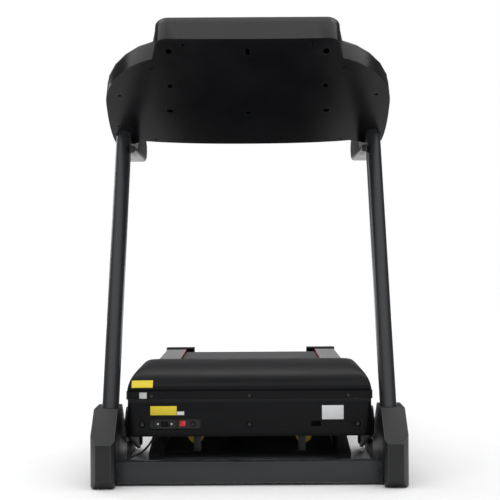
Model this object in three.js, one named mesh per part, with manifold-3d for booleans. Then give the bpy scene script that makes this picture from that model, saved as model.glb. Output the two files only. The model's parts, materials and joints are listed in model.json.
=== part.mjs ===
// A folding motorised treadmill, in millimetres, +Z up, standing on z = 0.
// The front (motor) end faces -Y and the user stands behind it, facing -Y.
// Inside the assembly, y is the distance behind the front face of the base covers.
import * as THREE from "three";
import { mergeVertices } from "three/addons/utils/BufferGeometryUtils.js";
import Module from "manifold-3d";

const wasm = await Module();
wasm.setup();

// ---- Driving dimensions ----
const LENGTH = 1750; // base covers' front to the rear end caps
const DECK_WIDTH = 704; // over the side rails
const RAIL_TOP = 248; // top of the side rails
const CONSOLE_HEIGHT = 1015.5; // lower edge of the console's back cover
const CONSOLE_FRONT = 564; // how far back that lower edge lies
const CONSOLE_TILT = THREE.MathUtils.degToRad(38); // the back cover, from level
const LEAN = THREE.MathUtils.degToRad(26.15); // the uprights, from vertical
const HOOD_TOP = RAIL_TOP + 72;
const HOOD_FRONT = 179;
const HOOD_BACK = 665;

// ---- Clearances ----
const GAP = 0.4; // between pieces that touch
const RUN = 0.35; // round a pin that turns
const SIDE = 3; // between pieces that pass one another

// ---- Stations across the machine, each built outwards from the one before ----
const deckHalf = DECK_WIDTH / 2;
const hoodHalf = deckHalf + 6;
const armIn = hoodHalf + SIDE;
const armOut = armIn + 10;
const coverIn = armOut + 5.5;
const uprightIn = coverIn + 4.5;
const UPRIGHT_WIDTH = 46;
const UPRIGHT_DEPTH = 70;
const uprightOut = uprightIn + UPRIGHT_WIDTH;
const uprightMid = (uprightIn + uprightOut) / 2;
const coverOut = uprightOut + 18;
const railIn = coverIn + 6.5;
const railOut = railIn + 38;
const consoleHalf = uprightOut + 19;

// ---- Heights ----
const FLOOR_GAP = 8;
const BAR = 60; // height of the base tubes
const baseTop = FLOOR_GAP + BAR;
const COVER_TOP = 212;
const COVER_DEPTH = 345;
const frameBottom = RAIL_TOP - 118;
const FRAME_TUBE = 60;
const frameTop = frameBottom + FRAME_TUBE;
const plateTop = frameBottom + 4; // the motor plate, just above the frame's lower face
const ROLLER_RADIUS = 23;
const rollerZ = RAIL_TOP - 34;
const BELT = 2.4; // thickness of the running belt
const BOARD = 18;
const boardTop = rollerZ + ROLLER_RADIUS - 0.5;

const CAP_RISE = 7; // the end caps stand this far above the side rails

// ---- Pivots, as [y, z] ----
const deckPivot = [285, frameBottom + 20];
const armPivot = [620, 42];
const liftTube = [300, 30];
const liftPivot = [800, frameBottom - 25];
const frontRoller = [605, rollerZ];
const rearRoller = [LENGTH - 62 - ROLLER_RADIUS, rollerZ];
const motorAxis = [420, RAIL_TOP - 43];

const X = new THREE.Vector3(1, 0, 0);
const Y = new THREE.Vector3(0, 1, 0);
const Z = new THREE.Vector3(0, 0, 1);

// ---- Finishes ----
const POWDER_COAT = { color: 0x1d1e20, roughness: 0.5, metalness: 0.5 };
const MOULDED = { color: 0x17181a, roughness: 0.62, metalness: 0 };
const GLOSS = { color: 0x0c0d10, roughness: 0.15, metalness: 0 };
const RUBBER = { color: 0x111111, roughness: 0.9, metalness: 0 };
const ZINC = { color: 0xb4b6ba, roughness: 0.35, metalness: 0.9 };
const WOVEN_BELT = { color: 0x2b2c2e, roughness: 0.85, metalness: 0 };
const FOOT_RAIL = { color: 0x6a6b6e, roughness: 0.6, metalness: 0.1 };
const BOARD_COAT = { color: 0x2a211a, roughness: 0.6, metalness: 0 };
const SIGNAL_RED = { color: 0xd01814, roughness: 0.35, metalness: 0 };
const BUFFER_YELLOW = { color: 0xe8b800, roughness: 0.5, metalness: 0 };
const CIRCUIT_GREEN = { color: 0x1f5a33, roughness: 0.5, metalness: 0 };
const ALUMINIUM = { color: 0xa9abae, roughness: 0.45, metalness: 0.9 };
const KEY_GREY = { color: 0x8d9094, roughness: 0.5, metalness: 0 };
const START_GREEN = { color: 0x1d9a4a, roughness: 0.45, metalness: 0 };

// ---- Building helpers ----

// A closed three.js geometry as a solid that can be cut and joined.
function solid(geometry, matrix) {
  const bare = geometry.clone();
  bare.deleteAttribute("normal");
  bare.deleteAttribute("uv");
  if (matrix) bare.applyMatrix4(matrix);
  const merged = mergeVertices(bare, 1e-3);
  return new wasm.Manifold(
    new wasm.Mesh({
      numProp: 3,
      vertProperties: merged.attributes.position.array,
      triVerts: new Uint32Array(merged.index.array),
    }),
  );
}

function block([x0, x1], [y0, y1], [z0, z1], matrix) {
  const geometry = new THREE.BoxGeometry(x1 - x0, y1 - y0, z1 - z0);
  geometry.translate((x0 + x1) / 2, (y0 + y1) / 2, (z0 + z1) / 2);
  return solid(geometry, matrix);
}

// An outline extruded between two stations. The outline lies in (y, z) for "x",
// in (x, z) for "y" and in (x, y) for "z".
function slab(outline, axis, [from, to], curveSegments = 6) {
  const geometry = new THREE.ExtrudeGeometry(outline, {
    depth: to - from,
    bevelEnabled: false,
    curveSegments,
  });
  const turn = new THREE.Matrix4();
  if (axis === "x") turn.makeBasis(Y, Z, X).setPosition(from, 0, 0);
  if (axis === "y") turn.makeBasis(X, Z, Y.clone().negate()).setPosition(0, to, 0);
  if (axis === "z") turn.setPosition(0, 0, from);
  return solid(geometry, turn);
}

// A round bar along x, centred on [y, z].
function rod([x0, x1], [y, z], radius, segments = 20) {
  const geometry = new THREE.CylinderGeometry(radius, radius, x1 - x0, segments);
  geometry.rotateZ(-Math.PI / 2);
  geometry.translate((x0 + x1) / 2, y, z);
  return solid(geometry);
}

function rodAlongY([y0, y1], [x, z], radius, segments = 20) {
  const geometry = new THREE.CylinderGeometry(radius, radius, y1 - y0, segments);
  geometry.translate(x, (y0 + y1) / 2, z);
  return solid(geometry);
}

function rodAlongZ([z0, z1], [x, y], radius, segments = 20) {
  const geometry = new THREE.CylinderGeometry(radius, radius, z1 - z0, segments);
  geometry.rotateX(Math.PI / 2);
  geometry.translate(x, y, (z0 + z1) / 2);
  return solid(geometry);
}

function polygon(points) {
  return new THREE.Shape(points.map(([a, b]) => new THREE.Vector2(a, b)));
}

// The outline of a flat bar with round ends: two circles and their outer tangents.
function linkPoints([a, b, r], [c, d, s], steps = 8) {
  const along = Math.atan2(d - b, c - a);
  const spread = Math.acos((r - s) / Math.hypot(c - a, d - b));
  const points = [];
  for (let i = 0; i <= steps; i++) {
    const t = along + spread + (i / steps) * 2 * (Math.PI - spread);
    points.push([a + r * Math.cos(t), b + r * Math.sin(t)]);
  }
  for (let i = 0; i <= steps; i++) {
    const t = along - spread + (i / steps) * 2 * spread;
    points.push([c + s * Math.cos(t), d + s * Math.sin(t)]);
  }
  return points;
}

// A closed outline moved inwards by a distance.
function insetPoints(points, distance) {
  const area = points.reduce((sum, [a, b], i) => {
    const [c, d] = points[(i + 1) % points.length];
    return sum + a * d - c * b;
  }, 0);
  const turn = Math.sign(area) * distance;
  return points.map(([a, b], i) => {
    const [p, q] = points[(i + points.length - 1) % points.length];
    const [c, d] = points[(i + 1) % points.length];
    const before = new THREE.Vector2(a - p, b - q).normalize();
    const after = new THREE.Vector2(c - a, d - b).normalize();
    const n = new THREE.Vector2(-before.y - after.y, before.x + after.x).normalize();
    const reach = turn / Math.max(0.3, n.x * -before.y + n.y * before.x);
    return [a + n.x * reach, b + n.y * reach];
  });
}

function shapePoints(shape, curveSegments = 6) {
  const points = shape.getPoints(curveSegments).map((p) => [p.x, p.y]);
  const [first, last] = [points[0], points[points.length - 1]];
  if (Math.hypot(first[0] - last[0], first[1] - last[1]) < 1e-6) points.pop();
  return points;
}

function roundedRectangle(width, height, radius) {
  const [w, h] = [width / 2, height / 2];
  const shape = new THREE.Shape();
  shape.moveTo(-w + radius, -h);
  shape.absarc(w - radius, -h + radius, radius, -Math.PI / 2, 0);
  shape.absarc(w - radius, h - radius, radius, 0, Math.PI / 2);
  shape.absarc(-w + radius, h - radius, radius, Math.PI / 2, Math.PI);
  shape.absarc(-w + radius, -h + radius, radius, Math.PI, 1.5 * Math.PI);
  return shape;
}

function union(pieces) {
  return pieces.reduce((all, piece) => all.add(piece));
}

function meshOf(name, body, finish) {
  const { vertProperties, triVerts } = body.getMesh();
  const geometry = new THREE.BufferGeometry();
  geometry.setAttribute("position", new THREE.BufferAttribute(vertProperties, 3));
  geometry.setIndex(new THREE.BufferAttribute(triVerts, 1));
  geometry.computeVertexNormals();
  const mesh = new THREE.Mesh(geometry, new THREE.MeshStandardMaterial(finish));
  mesh.name = name;
  return mesh;
}

const treadmill = new THREE.Group();
const assembly = new THREE.Group();
assembly.position.y = -LENGTH / 2;
treadmill.add(assembly);

function place(name, body, finish, group = assembly) {
  group.add(meshOf(name, body, finish));
}

// The piece as given on the right (+X) and its mirror image on the left.
function placePair(name, body, finish, group = assembly) {
  const left = meshOf(name + "_left", body, finish);
  left.scale.x = -1;
  group.add(left, meshOf(name + "_right", body, finish));
}

// ---- Uprights: flat-oval steel tubes that lean back from the base to the console ----
const UPRIGHT_FOOT = baseTop + 2;
const UPRIGHT_WALL = 2;
const UPRIGHT_LINE = [168, 215]; // a point [y, z] on the tube's centre line
const INTO_CONSOLE = 60;

function uprightY(z) {
  return UPRIGHT_LINE[0] + Math.tan(LEAN) * (z - UPRIGHT_LINE[1]);
}

const plateSlope = Math.tan(CONSOLE_TILT);
const enterConsoleZ =
  (CONSOLE_HEIGHT + plateSlope * (CONSOLE_FRONT - uprightY(0))) /
  (1 + plateSlope * Math.tan(LEAN));
const uprightLength =
  (enterConsoleZ - UPRIGHT_FOOT) / Math.cos(LEAN) + INTO_CONSOLE;

const uprightMatrix = new THREE.Matrix4()
  .makeRotationX(-LEAN)
  .setPosition(uprightMid, uprightY(UPRIGHT_FOOT), UPRIGHT_FOOT);

function uprightProfile(grow, segments = 6) {
  const radius = UPRIGHT_WIDTH / 2 + grow;
  const flat = (UPRIGHT_DEPTH - UPRIGHT_WIDTH) / 2;
  const shape = new THREE.Shape();
  shape.absarc(0, flat, radius, 0, Math.PI);
  shape.absarc(0, -flat, radius, Math.PI, 2 * Math.PI);
  return new THREE.Shape(shape.getPoints(segments));
}

function uprightBar(grow, [from, to]) {
  const geometry = new THREE.ExtrudeGeometry(uprightProfile(grow), {
    depth: to - from,
    bevelEnabled: false,
  });
  geometry.translate(0, 0, from);
  return solid(geometry, uprightMatrix);
}

const belowFoot = block([0, 2 * coverOut], [-300, 600], [-300, UPRIGHT_FOOT]);
const upright = uprightBar(0, [-80, uprightLength])
  .subtract(uprightBar(-UPRIGHT_WALL, [-120, uprightLength + 10]))
  .subtract(belowFoot);
placePair("upright", upright, POWDER_COAT);

// ---- Base: cross tube, floor rails, feet, wheels and covers ----
const crossbar = { front: 56, depth: 40, wall: 2.5 };
const crossbarBack = crossbar.front + crossbar.depth;

function squareTube(x, y, z, wall, open) {
  const inner = { x: [x[0] + wall, x[1] - wall], y: [y[0] + wall, y[1] - wall] };
  const bore = { ...inner, z: [z[0] + wall, z[1] - wall] };
  bore[open] = { x: [x[0] - 1, x[1] + 1], y: [y[0] - 1, y[1] + 1] }[open];
  return block(x, y, z).subtract(block(bore.x, bore.y, bore.z));
}

place(
  "front_crossbar",
  squareTube(
    [-railIn + GAP, railIn - GAP],
    [crossbar.front, crossbarBack],
    [FLOOR_GAP, baseTop],
    crossbar.wall,
    "x",
  ),
  POWDER_COAT,
);

const railFront = 15;
const railBack = armPivot[0] + 80;
const wheel = { y: 56, z: 29, radius: 27, bore: 5.2, in: railOut + SIDE };
const wheelOut = coverOut - 3 - SIDE;

const ARM_PIN = 12; // the headed stud that each swing arm turns on

// The tongue that the upright's lower end slides over.
const tongue = uprightBar(-UPRIGHT_WALL - 1.5, [-60, 90]).subtract(
  block([0, 2 * coverOut], [-300, 600], [-300, baseTop - 1]),
);
const floorRail = squareTube(
  [railIn, railOut],
  [railFront, railBack],
  [FLOOR_GAP, baseTop],
  2.5,
  "y",
)
  .add(tongue)
  .add(rod([railOut - 1, wheelOut], [wheel.y, wheel.z], wheel.bore - RUN, 12))
  .add(rod([armIn - 1, railIn + 1], armPivot, ARM_PIN - RUN))
  .add(rod([armIn - 6, armIn - 0.8], armPivot, ARM_PIN + 5, 6));
placePair("floor_rail", floorRail, POWDER_COAT);

placePair(
  "transport_wheel",
  rod([wheel.in, wheelOut], [wheel.y, wheel.z], wheel.radius, 24).subtract(
    rod([wheel.in - 1, wheelOut + 1], [wheel.y, wheel.z], wheel.bore, 12),
  ),
  RUBBER,
);

const footTop = FLOOR_GAP - GAP;
placePair(
  "front_foot",
  block([railIn + 2, railOut - 2], [railFront + 5, railFront + 75], [0, footTop]),
  RUBBER,
);
placePair(
  "rail_foot",
  block([railIn + 2, railOut - 2], [railBack - 55, railBack - 5], [0, footTop]),
  RUBBER,
);

// Faceted cover round the foot of each upright, open underneath.
const coverSide = [
  [0, 22],
  [0, 125],
  [103, COVER_TOP],
  [222, COVER_TOP],
  [330, 120],
  [COVER_DEPTH, 72],
  [COVER_DEPTH, 4],
  [13, 4],
];
const coverPlan = [
  [coverIn, 12],
  [coverIn + 8.5, 0],
  [coverOut - 16, 0],
  [coverOut, 26],
  [coverOut, COVER_DEPTH - 25],
  [coverOut - 12, COVER_DEPTH],
  [coverIn, COVER_DEPTH],
];
const COVER_WALL = 3;
const coverReach = [-10, COVER_TOP + 10];
const coverSkin = slab(polygon(coverSide), "x", [coverIn, coverOut]).intersect(
  slab(polygon(coverPlan), "z", coverReach),
);
const coverInside = slab(
  polygon(insetPoints(coverSide, COVER_WALL)),
  "x",
  [coverIn + COVER_WALL, coverOut - COVER_WALL],
)
  .add(
    block(
      [coverIn + COVER_WALL, coverOut - COVER_WALL],
      [16, COVER_DEPTH - COVER_WALL],
      [-5, 30],
    ),
  )
  .intersect(slab(polygon(insetPoints(coverPlan, COVER_WALL)), "z", coverReach));
const crossbarSlot = block(
  [coverIn - 1, coverIn + 6],
  [crossbar.front - 1, crossbarBack + 1],
  [0, baseTop + 1],
);
const railSlot = block(
  [railIn - 1.5, railOut + 1.5],
  [COVER_DEPTH - 6, COVER_DEPTH + 1],
  [0, baseTop + 1.5],
);
const cover = coverSkin
  .subtract(coverInside)
  .subtract(crossbarSlot)
  .subtract(railSlot)
  .subtract(uprightBar(1.5, [20, 400]));
placePair("base_cover", cover, MOULDED);

// ---- Swing arms, which lift the deck's front pivot, and the pivot pins ----
const PIVOT_PIN = 14;
const armOutline = polygon(
  linkPoints([...deckPivot, 45], [...armPivot, 28], 10),
);
placePair(
  "swing_arm",
  slab(armOutline, "x", [armIn, armOut])
    .subtract(rod([armIn - 1, armOut + 1], deckPivot, PIVOT_PIN))
    .subtract(rod([armIn - 1, armOut + 1], armPivot, ARM_PIN)),
  POWDER_COAT,
);

const FRAME_OUT = 340;
const frameOut = Math.min(FRAME_OUT, deckHalf - 12);
const frameIn = frameOut - 40;
placePair(
  "pivot_pin",
  rod([frameIn - 8, armOut + 0.2], deckPivot, PIVOT_PIN - RUN).add(
    rod([armOut + 0.5 - RUN, coverIn - 1], deckPivot, PIVOT_PIN + 5, 6),
  ),
  ZINC,
);

// ---- Deck frame ----
const frameFront = HOOD_FRONT + 43;
const frameBack = LENGTH - 60;
const FRAME_WALL = 2.5;
const CROSS_MEMBERS = [frameFront + 1, 660, 1010, LENGTH - 400, frameBack - 41];
const AXLE = 8;
const rollerHub = frameIn + 3;
const bumper = { x: 164, y: 322, z: 102, radius: 25, thick: 22 };
const CRANK_X = -47;
const crankTip = [liftPivot[0], liftPivot[1] - 68];

function longMember() {
  return squareTube(
    [frameIn, frameOut],
    [frameFront, frameBack],
    [frameBottom, frameTop],
    FRAME_WALL,
    "y",
  );
}

function bothSides(body) {
  const mirror = new THREE.Matrix4().makeScale(-1, 1, 1);
  const { vertProperties, triVerts } = body.getMesh();
  const geometry = new THREE.BufferGeometry();
  geometry.setAttribute("position", new THREE.BufferAttribute(vertProperties, 3));
  geometry.setIndex(new THREE.BufferAttribute(triVerts, 1));
  geometry.applyMatrix4(mirror);
  const turned = new Uint32Array(geometry.index.array).reverse();
  geometry.setIndex(new THREE.BufferAttribute(turned, 1));
  return body.add(solid(geometry));
}

const crossBottom = frameBottom + 6;
const crossTop = crossBottom + 40;
const crossOuter = CROSS_MEMBERS.map((y) =>
  block([-frameIn - 1, frameIn + 1], [y, y + 40], [crossBottom, crossTop]),
);
const crossInner = CROSS_MEMBERS.map((y) =>
  block(
    [-frameIn - FRAME_WALL - 2, frameIn + FRAME_WALL + 2],
    [y + FRAME_WALL, y + 40 - FRAME_WALL],
    [crossBottom + FRAME_WALL, crossTop - FRAME_WALL],
  ),
);
const bracketPlate = [rollerHub, rollerHub + 6];
function rollerBracket([y, z]) {
  return block(bracketPlate, [y - 26, y + 26], [frameTop - 1, z + AXLE + 6]);
}
const legFront = frameBack - 50;
const REAR_FOOT_TOP = 44.6;
const motorPlate = block([-frameIn - 1.5, frameIn + 1.5], [frameFront + 2, 600], [
  plateTop - 3,
  plateTop,
]);
const liftEar = slab(
  polygon([
    [liftPivot[0] - 26, frameBottom + 1],
    [liftPivot[0] - 16, liftPivot[1] - 16],
    [liftPivot[0] + 16, liftPivot[1] - 16],
    [liftPivot[0] + 26, frameBottom + 1],
  ]),
  "x",
  [frameIn + 11, frameIn + 17],
);
const bumperHanger = block(
  [bumper.x - 14, bumper.x + 14],
  [bumper.y + bumper.thick + GAP, bumper.y + bumper.thick + GAP + 5],
  [bumper.z - 16, plateTop - 1],
);
const actuatorHanger = block([CRANK_X - 22, CRANK_X + 22], [560, 566], [
  crankTip[1] - 18,
  plateTop - 1,
]);

const sideFrame = union([
  longMember(),
  rollerBracket(frontRoller),
  rollerBracket(rearRoller),
  block([frameIn, frameOut], [legFront, frameBack], [REAR_FOOT_TOP, frameBottom + 1]),
  liftEar,
  bumperHanger,
]);
const LIFT_SHAFT = 12;
const deckFrame = union([
  bothSides(sideFrame).add(motorPlate),
  ...crossOuter,
  actuatorHanger,
])
  .subtract(union(crossInner))
  .subtract(rod([-deckHalf, deckHalf], deckPivot, PIVOT_PIN))
  .subtract(rod([-deckHalf, deckHalf], liftPivot, LIFT_SHAFT))
  .subtract(rod([-deckHalf, deckHalf], frontRoller, AXLE, 16))
  .subtract(rod([-deckHalf, deckHalf], rearRoller, AXLE, 16));
place("deck_frame", deckFrame, POWDER_COAT);

placePair(
  "rear_foot",
  rodAlongZ([0, REAR_FOOT_TOP - GAP], [frameIn + 20, legFront + 25], 24, 16),
  RUBBER,
);

placePair(
  "lift_buffer",
  rodAlongY(
    [bumper.y, bumper.y + bumper.thick],
    [bumper.x, bumper.z],
    bumper.radius,
    20,
  ),
  BUFFER_YELLOW,
);

// ---- Running surface ----
const boardSpan = [frontRoller[0] + 52, rearRoller[0] - 50];
const boardHalf = frameOut - 5;
const boardBottom = boardTop - BOARD;
place(
  "running_board",
  block([-boardHalf, boardHalf], boardSpan, [boardBottom, boardTop]),
  BOARD_COAT,
);
placePair(
  "deck_cushion",
  block([frameIn + 5, frameOut - 6], [boardSpan[0] + 20, boardSpan[1] - 20], [
    frameTop + GAP,
    boardBottom - GAP,
  ]),
  RUBBER,
);

const beltHalf = 265;
const beltRadius = ROLLER_RADIUS + GAP;
function beltLoop(radius) {
  return linkPoints([...frontRoller, radius], [...rearRoller, radius], 10);
}
place(
  "running_belt",
  slab(polygon(beltLoop(beltRadius + BELT)), "x", [-beltHalf, beltHalf]).subtract(
    slab(polygon(beltLoop(beltRadius)), "x", [-beltHalf - 1, beltHalf + 1]),
  ),
  WOVEN_BELT,
);

const hubEnd = rollerHub + 12;
const pulley = { in: beltHalf + 6, out: beltHalf + 26, big: 42, small: 17 };
const frontRollerBody = union([
  rod([-beltHalf - 2, beltHalf + 2], frontRoller, ROLLER_RADIUS, 28),
  rod([-hubEnd, hubEnd], frontRoller, AXLE - RUN, 12),
  rod([-pulley.out, -pulley.in], frontRoller, pulley.big, 28),
]);
place("front_roller", frontRollerBody, ZINC);
place(
  "rear_roller",
  rod([-beltHalf - 2, beltHalf + 2], rearRoller, ROLLER_RADIUS, 28).add(
    rod([-hubEnd, hubEnd], rearRoller, AXLE - RUN, 12),
  ),
  ZINC,
);

const RAIL_WIDTH = 84;
const railLip = deckHalf - RAIL_WIDTH;
const sideRailSpan = [HOOD_BACK - 10, LENGTH - 56];
const sideRailProfile = [
  [railLip, RAIL_TOP - 5],
  [deckHalf - 5, RAIL_TOP - 5],
  [deckHalf - 5, frameTop],
  [deckHalf, frameTop],
  [deckHalf, RAIL_TOP - 4],
  [deckHalf - 4, RAIL_TOP],
  [railLip + 2, RAIL_TOP],
  [railLip, RAIL_TOP - 1.5],
];
placePair("side_rail", slab(polygon(sideRailProfile), "y", sideRailSpan), FOOT_RAIL);

// Rear end caps, with a step inwards behind the belt, open at the front.
const capInner = railLip - 33;
const capSpan = [LENGTH - 55.6, LENGTH];
const capSide = [
  [capSpan[0], frameBottom + 8],
  [capSpan[0], RAIL_TOP + CAP_RISE],
  [LENGTH - 14, RAIL_TOP + CAP_RISE],
  [LENGTH - 4, RAIL_TOP - 4],
  [LENGTH, RAIL_TOP - 18],
  [LENGTH, frameBottom + 22],
  [LENGTH - 8, frameBottom + 8],
];
const capHollow = insetPoints(capSide, 3);
const cap = slab(polygon(capSide), "x", [capInner, deckHalf]).subtract(
  slab(polygon(capHollow), "x", [capInner + 3, deckHalf - 3]).add(
    block([capInner + 3, deckHalf - 3], [capSpan[0] - 5, capSpan[0] + 6], [
      frameBottom + 11,
      RAIL_TOP,
    ]),
  ),
);
placePair("end_cap", cap, MOULDED);

// ---- Lift frame: floor tube, two arms and the cross shaft with its crank ----
const LIFT_TUBE = 28;
const liftArm = { in: frameIn - 42, out: frameIn + 8, half: 15, wall: 3 };
const liftAngle = Math.atan2(liftPivot[1] - liftTube[1], liftPivot[0] - liftTube[0]);
const liftLength = Math.hypot(
  liftPivot[1] - liftTube[1],
  liftPivot[0] - liftTube[0],
);
const liftMatrix = new THREE.Matrix4()
  .makeRotationX(liftAngle)
  .setPosition(0, liftTube[0], liftTube[1]);
const liftChannel = block(
  [liftArm.in, liftArm.out],
  [-8, liftLength + 14],
  [-liftArm.half, liftArm.half],
  liftMatrix,
).subtract(
  block(
    [liftArm.in + liftArm.wall, liftArm.out - liftArm.wall],
    [34, liftLength - 18],
    [-liftArm.half - 1, liftArm.half - liftArm.wall],
    liftMatrix,
  ),
);
// A stiffening plate between the arms, behind the floor tube.
const liftWeb = block([-liftArm.in - 1, liftArm.in + 1], [20, 250], [-5, -2], liftMatrix);
const liftLug = block(
  [bumper.x - 17, bumper.x + 5],
  [liftTube[0], liftTube[0] + 12],
  [liftTube[1] + LIFT_TUBE - 6, bumper.z + 12],
);
const crank = slab(
  polygon(linkPoints([...liftPivot, 20], [...crankTip, 13], 6)),
  "x",
  [CRANK_X - 5, CRANK_X + 5],
).add(rod([CRANK_X - 16, CRANK_X + 16], crankTip, 6, 12));
const liftFrame = union([
  bothSides(liftChannel.add(liftLug)),
  rod([-liftArm.in - 2, liftArm.in + 2], liftTube, LIFT_TUBE, 24),
  liftWeb,
  rod([-frameIn - 20, frameIn + 20], liftPivot, LIFT_SHAFT - RUN),
  crank,
]).subtract(rod([-liftArm.out - 1, liftArm.out + 1], liftTube, LIFT_TUBE - 3, 16));
place("lift_frame", liftFrame, POWDER_COAT);

// Incline actuator: a gearmotor on the deck's hanger and a push rod with a fork.
const actuatorSpan = [566.4, 690];
const PUSH_ROD = 9;
const rodTail = 640;
const gearmotor = union([
  block([CRANK_X - 24, CRANK_X + 24], actuatorSpan, [crankTip[1] - 20, crankTip[1] + 28]),
  rodAlongZ([crankTip[1] + 20, frameBottom - 8], [CRANK_X, 615], 22, 18),
]).subtract(rodAlongY([rodTail - 4, 700], [CRANK_X, crankTip[1]], PUSH_ROD + RUN, 14));
place("incline_motor", gearmotor, ALUMINIUM);

const forkGap = { pin: 6, travel: 5 };
const forkSide = { back: 40, ahead: 14, half: 11, near: 7, far: 13 };
function forkCheek(sign) {
  const stations = [CRANK_X + sign * forkSide.near, CRANK_X + sign * forkSide.far];
  return block(
    stations.sort((a, b) => a - b),
    [crankTip[0] - forkSide.back, crankTip[0] + forkSide.ahead],
    [crankTip[1] - forkSide.half, crankTip[1] + forkSide.half],
  );
}
const forkSlot = block(
  [CRANK_X - 20, CRANK_X + 20],
  [crankTip[0] - forkGap.pin - 1.5, crankTip[0] + forkGap.pin + 1.5],
  [crankTip[1] - forkGap.pin - 1, crankTip[1] + forkGap.pin + forkGap.travel - 2],
);
const pushRod = union([
  rodAlongY([rodTail, crankTip[0] - 32], [CRANK_X, crankTip[1]], PUSH_ROD, 14),
  block(
    [CRANK_X - 13, CRANK_X + 13],
    [crankTip[0] - 40, crankTip[0] - 26],
    [crankTip[1] - 11, crankTip[1] + 11],
  ),
  forkCheek(1),
  forkCheek(-1),
]).subtract(forkSlot);
place("incline_rod", pushRod, ZINC);

// ---- Drive: motor, flywheel shaft, belt and controller ----
const MOTOR_RADIUS = 50;
const motorSpan = [-228, -40];
const motorBody = union([
  rod(motorSpan, motorAxis, MOTOR_RADIUS, 24),
  block([motorSpan[0] + 20, motorSpan[1] - 20], [motorAxis[0] - 40, motorAxis[0] + 40], [
    plateTop + GAP,
    motorAxis[1] - 20,
  ]),
]).subtract(rod([motorSpan[0] - 1, motorSpan[0] + 40], motorAxis, AXLE + RUN, 14));
place("drive_motor", motorBody, POWDER_COAT);

place(
  "motor_flywheel",
  union([
    rod([-pulley.out, motorSpan[0] + 36], motorAxis, AXLE, 14),
    rod([-pulley.out, -pulley.in], motorAxis, pulley.small, 20),
    rod([motorSpan[0] - 28, motorSpan[0] - 6], motorAxis, MOTOR_RADIUS + 8, 28),
  ]),
  ZINC,
);

function driveLoop(grow) {
  return linkPoints(
    [...motorAxis, pulley.small + grow],
    [...frontRoller, pulley.big + grow],
    10,
  );
}
place(
  "drive_belt",
  slab(polygon(driveLoop(4)), "x", [-pulley.out + 1, -pulley.in - 1]).subtract(
    slab(polygon(driveLoop(1)), "x", [-pulley.out, -pulley.in]),
  ),
  RUBBER,
);

const controller = {
  x: [60, 240],
  y: [frameFront + 44, frameFront + 174],
  z: [plateTop + GAP, plateTop + 22],
};
const fins = [0, 1, 2, 3, 4, 5].map((i) =>
  block(
    controller.x,
    [controller.y[0] + 8 + i * 22, controller.y[0] + 12 + i * 22],
    [controller.z[1] - 1, controller.z[1] + 34],
  ),
);
place(
  "motor_controller",
  union([block(controller.x, controller.y, controller.z), ...fins]),
  ALUMINIUM,
);

// ---- Motor hood and front panel ----
const HOOD_WALL = 3;
const PANEL_BOTTOM = RAIL_TOP - 127;
const STRIP_FRONT = HOOD_FRONT + 10;
const lipTop = RAIL_TOP - 19;
const stripTop = RAIL_TOP + 4;
const hoodSide = [
  [STRIP_FRONT, lipTop + GAP],
  [STRIP_FRONT, stripTop],
  [STRIP_FRONT - 6, stripTop + 5],
  [STRIP_FRONT - 3, stripTop + 16],
  [STRIP_FRONT + 12, HOOD_TOP - 38],
  [STRIP_FRONT + 44, HOOD_TOP - 21],
  [STRIP_FRONT + 100, HOOD_TOP - 8],
  [STRIP_FRONT + 165, HOOD_TOP - 2],
  [STRIP_FRONT + 235, HOOD_TOP],
  [HOOD_BACK - 120, HOOD_TOP - 4],
  [HOOD_BACK - 45, HOOD_TOP - 18],
  [HOOD_BACK - 12, HOOD_TOP - 36],
  [HOOD_BACK, RAIL_TOP + 4],
  [HOOD_BACK, lipTop + GAP],
];
const hoodShoulder = new THREE.Shape();
hoodShoulder.moveTo(-hoodHalf, lipTop - 10);
hoodShoulder.lineTo(hoodHalf, lipTop - 10);
hoodShoulder.lineTo(hoodHalf, stripTop + 3);
hoodShoulder.quadraticCurveTo(hoodHalf - 4, HOOD_TOP, hoodHalf - 72, HOOD_TOP);
hoodShoulder.lineTo(-hoodHalf + 72, HOOD_TOP);
hoodShoulder.quadraticCurveTo(-hoodHalf + 4, HOOD_TOP, -hoodHalf, stripTop + 3);
const shoulderPoints = shapePoints(hoodShoulder);

const hoodInside = slab(polygon(insetPoints(hoodSide, HOOD_WALL)), "x", [
  -hoodHalf,
  hoodHalf,
])
  .intersect(
    slab(polygon(insetPoints(shoulderPoints, HOOD_WALL)), "y", [0, HOOD_BACK + 50]),
  )
  .add(
    block(
      [-hoodHalf + HOOD_WALL, hoodHalf - HOOD_WALL],
      [STRIP_FRONT + HOOD_WALL, HOOD_BACK - HOOD_WALL],
      [lipTop - 5, lipTop + 10],
    ),
  );
const beltWay = block(
  [-deckHalf - 2, deckHalf + 2],
  [HOOD_BACK - 6, HOOD_BACK + 2],
  [lipTop - 5, RAIL_TOP + 4],
);
const hoodTop = slab(polygon(hoodSide), "x", [-hoodHalf, hoodHalf])
  .intersect(slab(polygon(shoulderPoints), "y", [0, HOOD_BACK + 50]))
  .subtract(hoodInside)
  .subtract(beltWay);
place("hood_top", hoodTop, MOULDED);

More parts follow.
